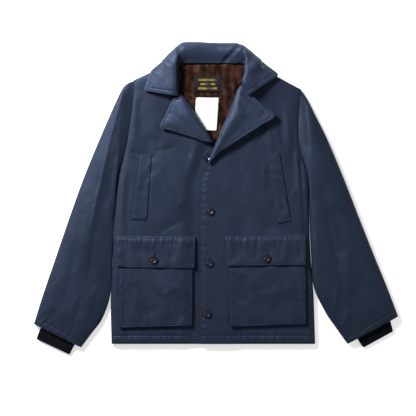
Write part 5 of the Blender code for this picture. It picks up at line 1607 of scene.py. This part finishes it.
def area_light(name, place, aim, size, energy, colour=(1, 1, 1)):
    """A soft square light at a place, turned to its aim."""
    light = bpy.data.lights.new(name, "AREA")
    light.shape = "SQUARE"
    light.size = size
    light.energy = energy
    light.color = colour
    lamp = bpy.data.objects.new(name, light)
    lamp.location = place
    direction = np.array(aim) - np.array(place)
    lamp.rotation_euler = (
        math.atan2(math.hypot(direction[0], direction[1]), -direction[2]),
        0,
        math.atan2(direction[0], -direction[1]) + math.pi,
    )
    bpy.context.scene.collection.objects.link(lamp)


def make_camera():
    """A camera straight above, framed as the photograph."""
    data = bpy.data.cameras.new("camera")
    camera = bpy.data.objects.new("camera", data)
    camera.location = (CAMERA_X, CAMERA_Y, CAMERA_HEIGHT)
    data.sensor_width = 36.0
    data.lens = 36.0 * (CAMERA_HEIGHT - VIEW_LEVEL) / VIEW_WIDTH
    data.clip_end = 50.0
    bpy.context.scene.collection.objects.link(camera)
    bpy.context.scene.camera = camera


def make_lights():
    """Plain soft studio light: an even white surround, and a broad light from the upper left."""
    world = bpy.data.worlds.new("studio")
    world.use_nodes = True
    world.node_tree.nodes["Background"].inputs["Color"].default_value = (1.0, 1.0, 1.0, 1.0)
    world.node_tree.nodes["Background"].inputs["Strength"].default_value = 0.15
    bpy.context.scene.world = world
    area_light("key", (-1.25, 1.3, 1.28), (0, 0, 0), 0.55, 104.0)
    area_light("fill", (1.4, -0.2, 1.6), (0, 0, 0), 1.2, 6.0)


def main():
    make_camera()
    make_lights()
    bpy.context.scene.view_settings.view_transform = "Standard"
    pale_floor()
    cloth = cotton("navy_cotton", NAVY, NAVY_LIGHT, 0.47)
    # The collar and lapels take the navy cotton painted lighter: painted light, not a different cloth
    facing = cotton("navy_cotton_painted_lighter", FACING_PAINTED_LIT, FACING_PAINTED_LIT_LIGHT, 0.43)
    knit = rib_knit()
    pile = brown_pile()
    thread = sewing_thread("navy_thread", THREAD, tuple(1.6 * c for c in THREAD))
    # Near-black marks for the buttonhole slits: painted shade in the openings, not thread
    slit_shade = sewing_thread("painted_slit_shade", (0.004, 0.005, 0.008), (0.008, 0.010, 0.016))
    stitched = make_back(cloth) + make_fronts(cloth)
    make_lining(pile)
    collar_lines = make_collar(facing)
    collar_lines += make_lapel("lapel_right_cloth", LAPEL_RIGHT, LAPEL_RIGHT_FOLDS, 71, facing)
    collar_lines += make_lapel("lapel_left_cloth", LAPEL_LEFT, LAPEL_LEFT_FOLDS, 75, facing)
    stitched += make_sleeve("sleeve_right_cloth", SLEEVE_RIGHT, "right_x", cloth)
    stitched += make_sleeve("sleeve_left_cloth", SLEEVE_LEFT, "left_x", cloth)
    make_cuff("cuff_right_knit", CUFF_RIGHT, knit)
    make_cuff("cuff_left_knit", CUFF_LEFT, knit)
    pocket_lines = make_pocket("pocket_right_cloth", POCKET_RIGHT, 81, cloth)
    pocket_lines += make_pocket("pocket_left_cloth", POCKET_LEFT, 84, cloth)
    pocket_lines += make_flap("flap_right_cloth", FLAP_RIGHT, 87, cloth)
    pocket_lines += make_flap("flap_left_cloth", FLAP_LEFT, 94, cloth)
    stitched += make_welt("welt_right_cloth", WELT_RIGHT, 101, cloth)
    stitched += make_welt("welt_left_cloth", WELT_LEFT, 104, cloth)
    mustard = sewing_thread("mustard_thread", MUSTARD, tuple(1.3 * c for c in MUSTARD))
    label_lines = make_labels(woven_label(), white_tape(), mustard)
    thread_marks("stitches_body", stitched, thread)
    thread_marks("stitches_collar", collar_lines, thread)
    thread_marks("stitches_pockets", pocket_lines, thread)
    thread_marks("stitches_label", label_lines, thread, 0.0024, 0.0017, 0.0005)
    make_button_threads(thread)
    make_buttonholes(thread, slit_shade)
    horn = polished_horn()
    for button in BUTTONS:
        frame["nodes"][button.name].material_slots[0].material = horn
    for node, name in STANDS_FOR.items():
        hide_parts(node)


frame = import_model()
main()
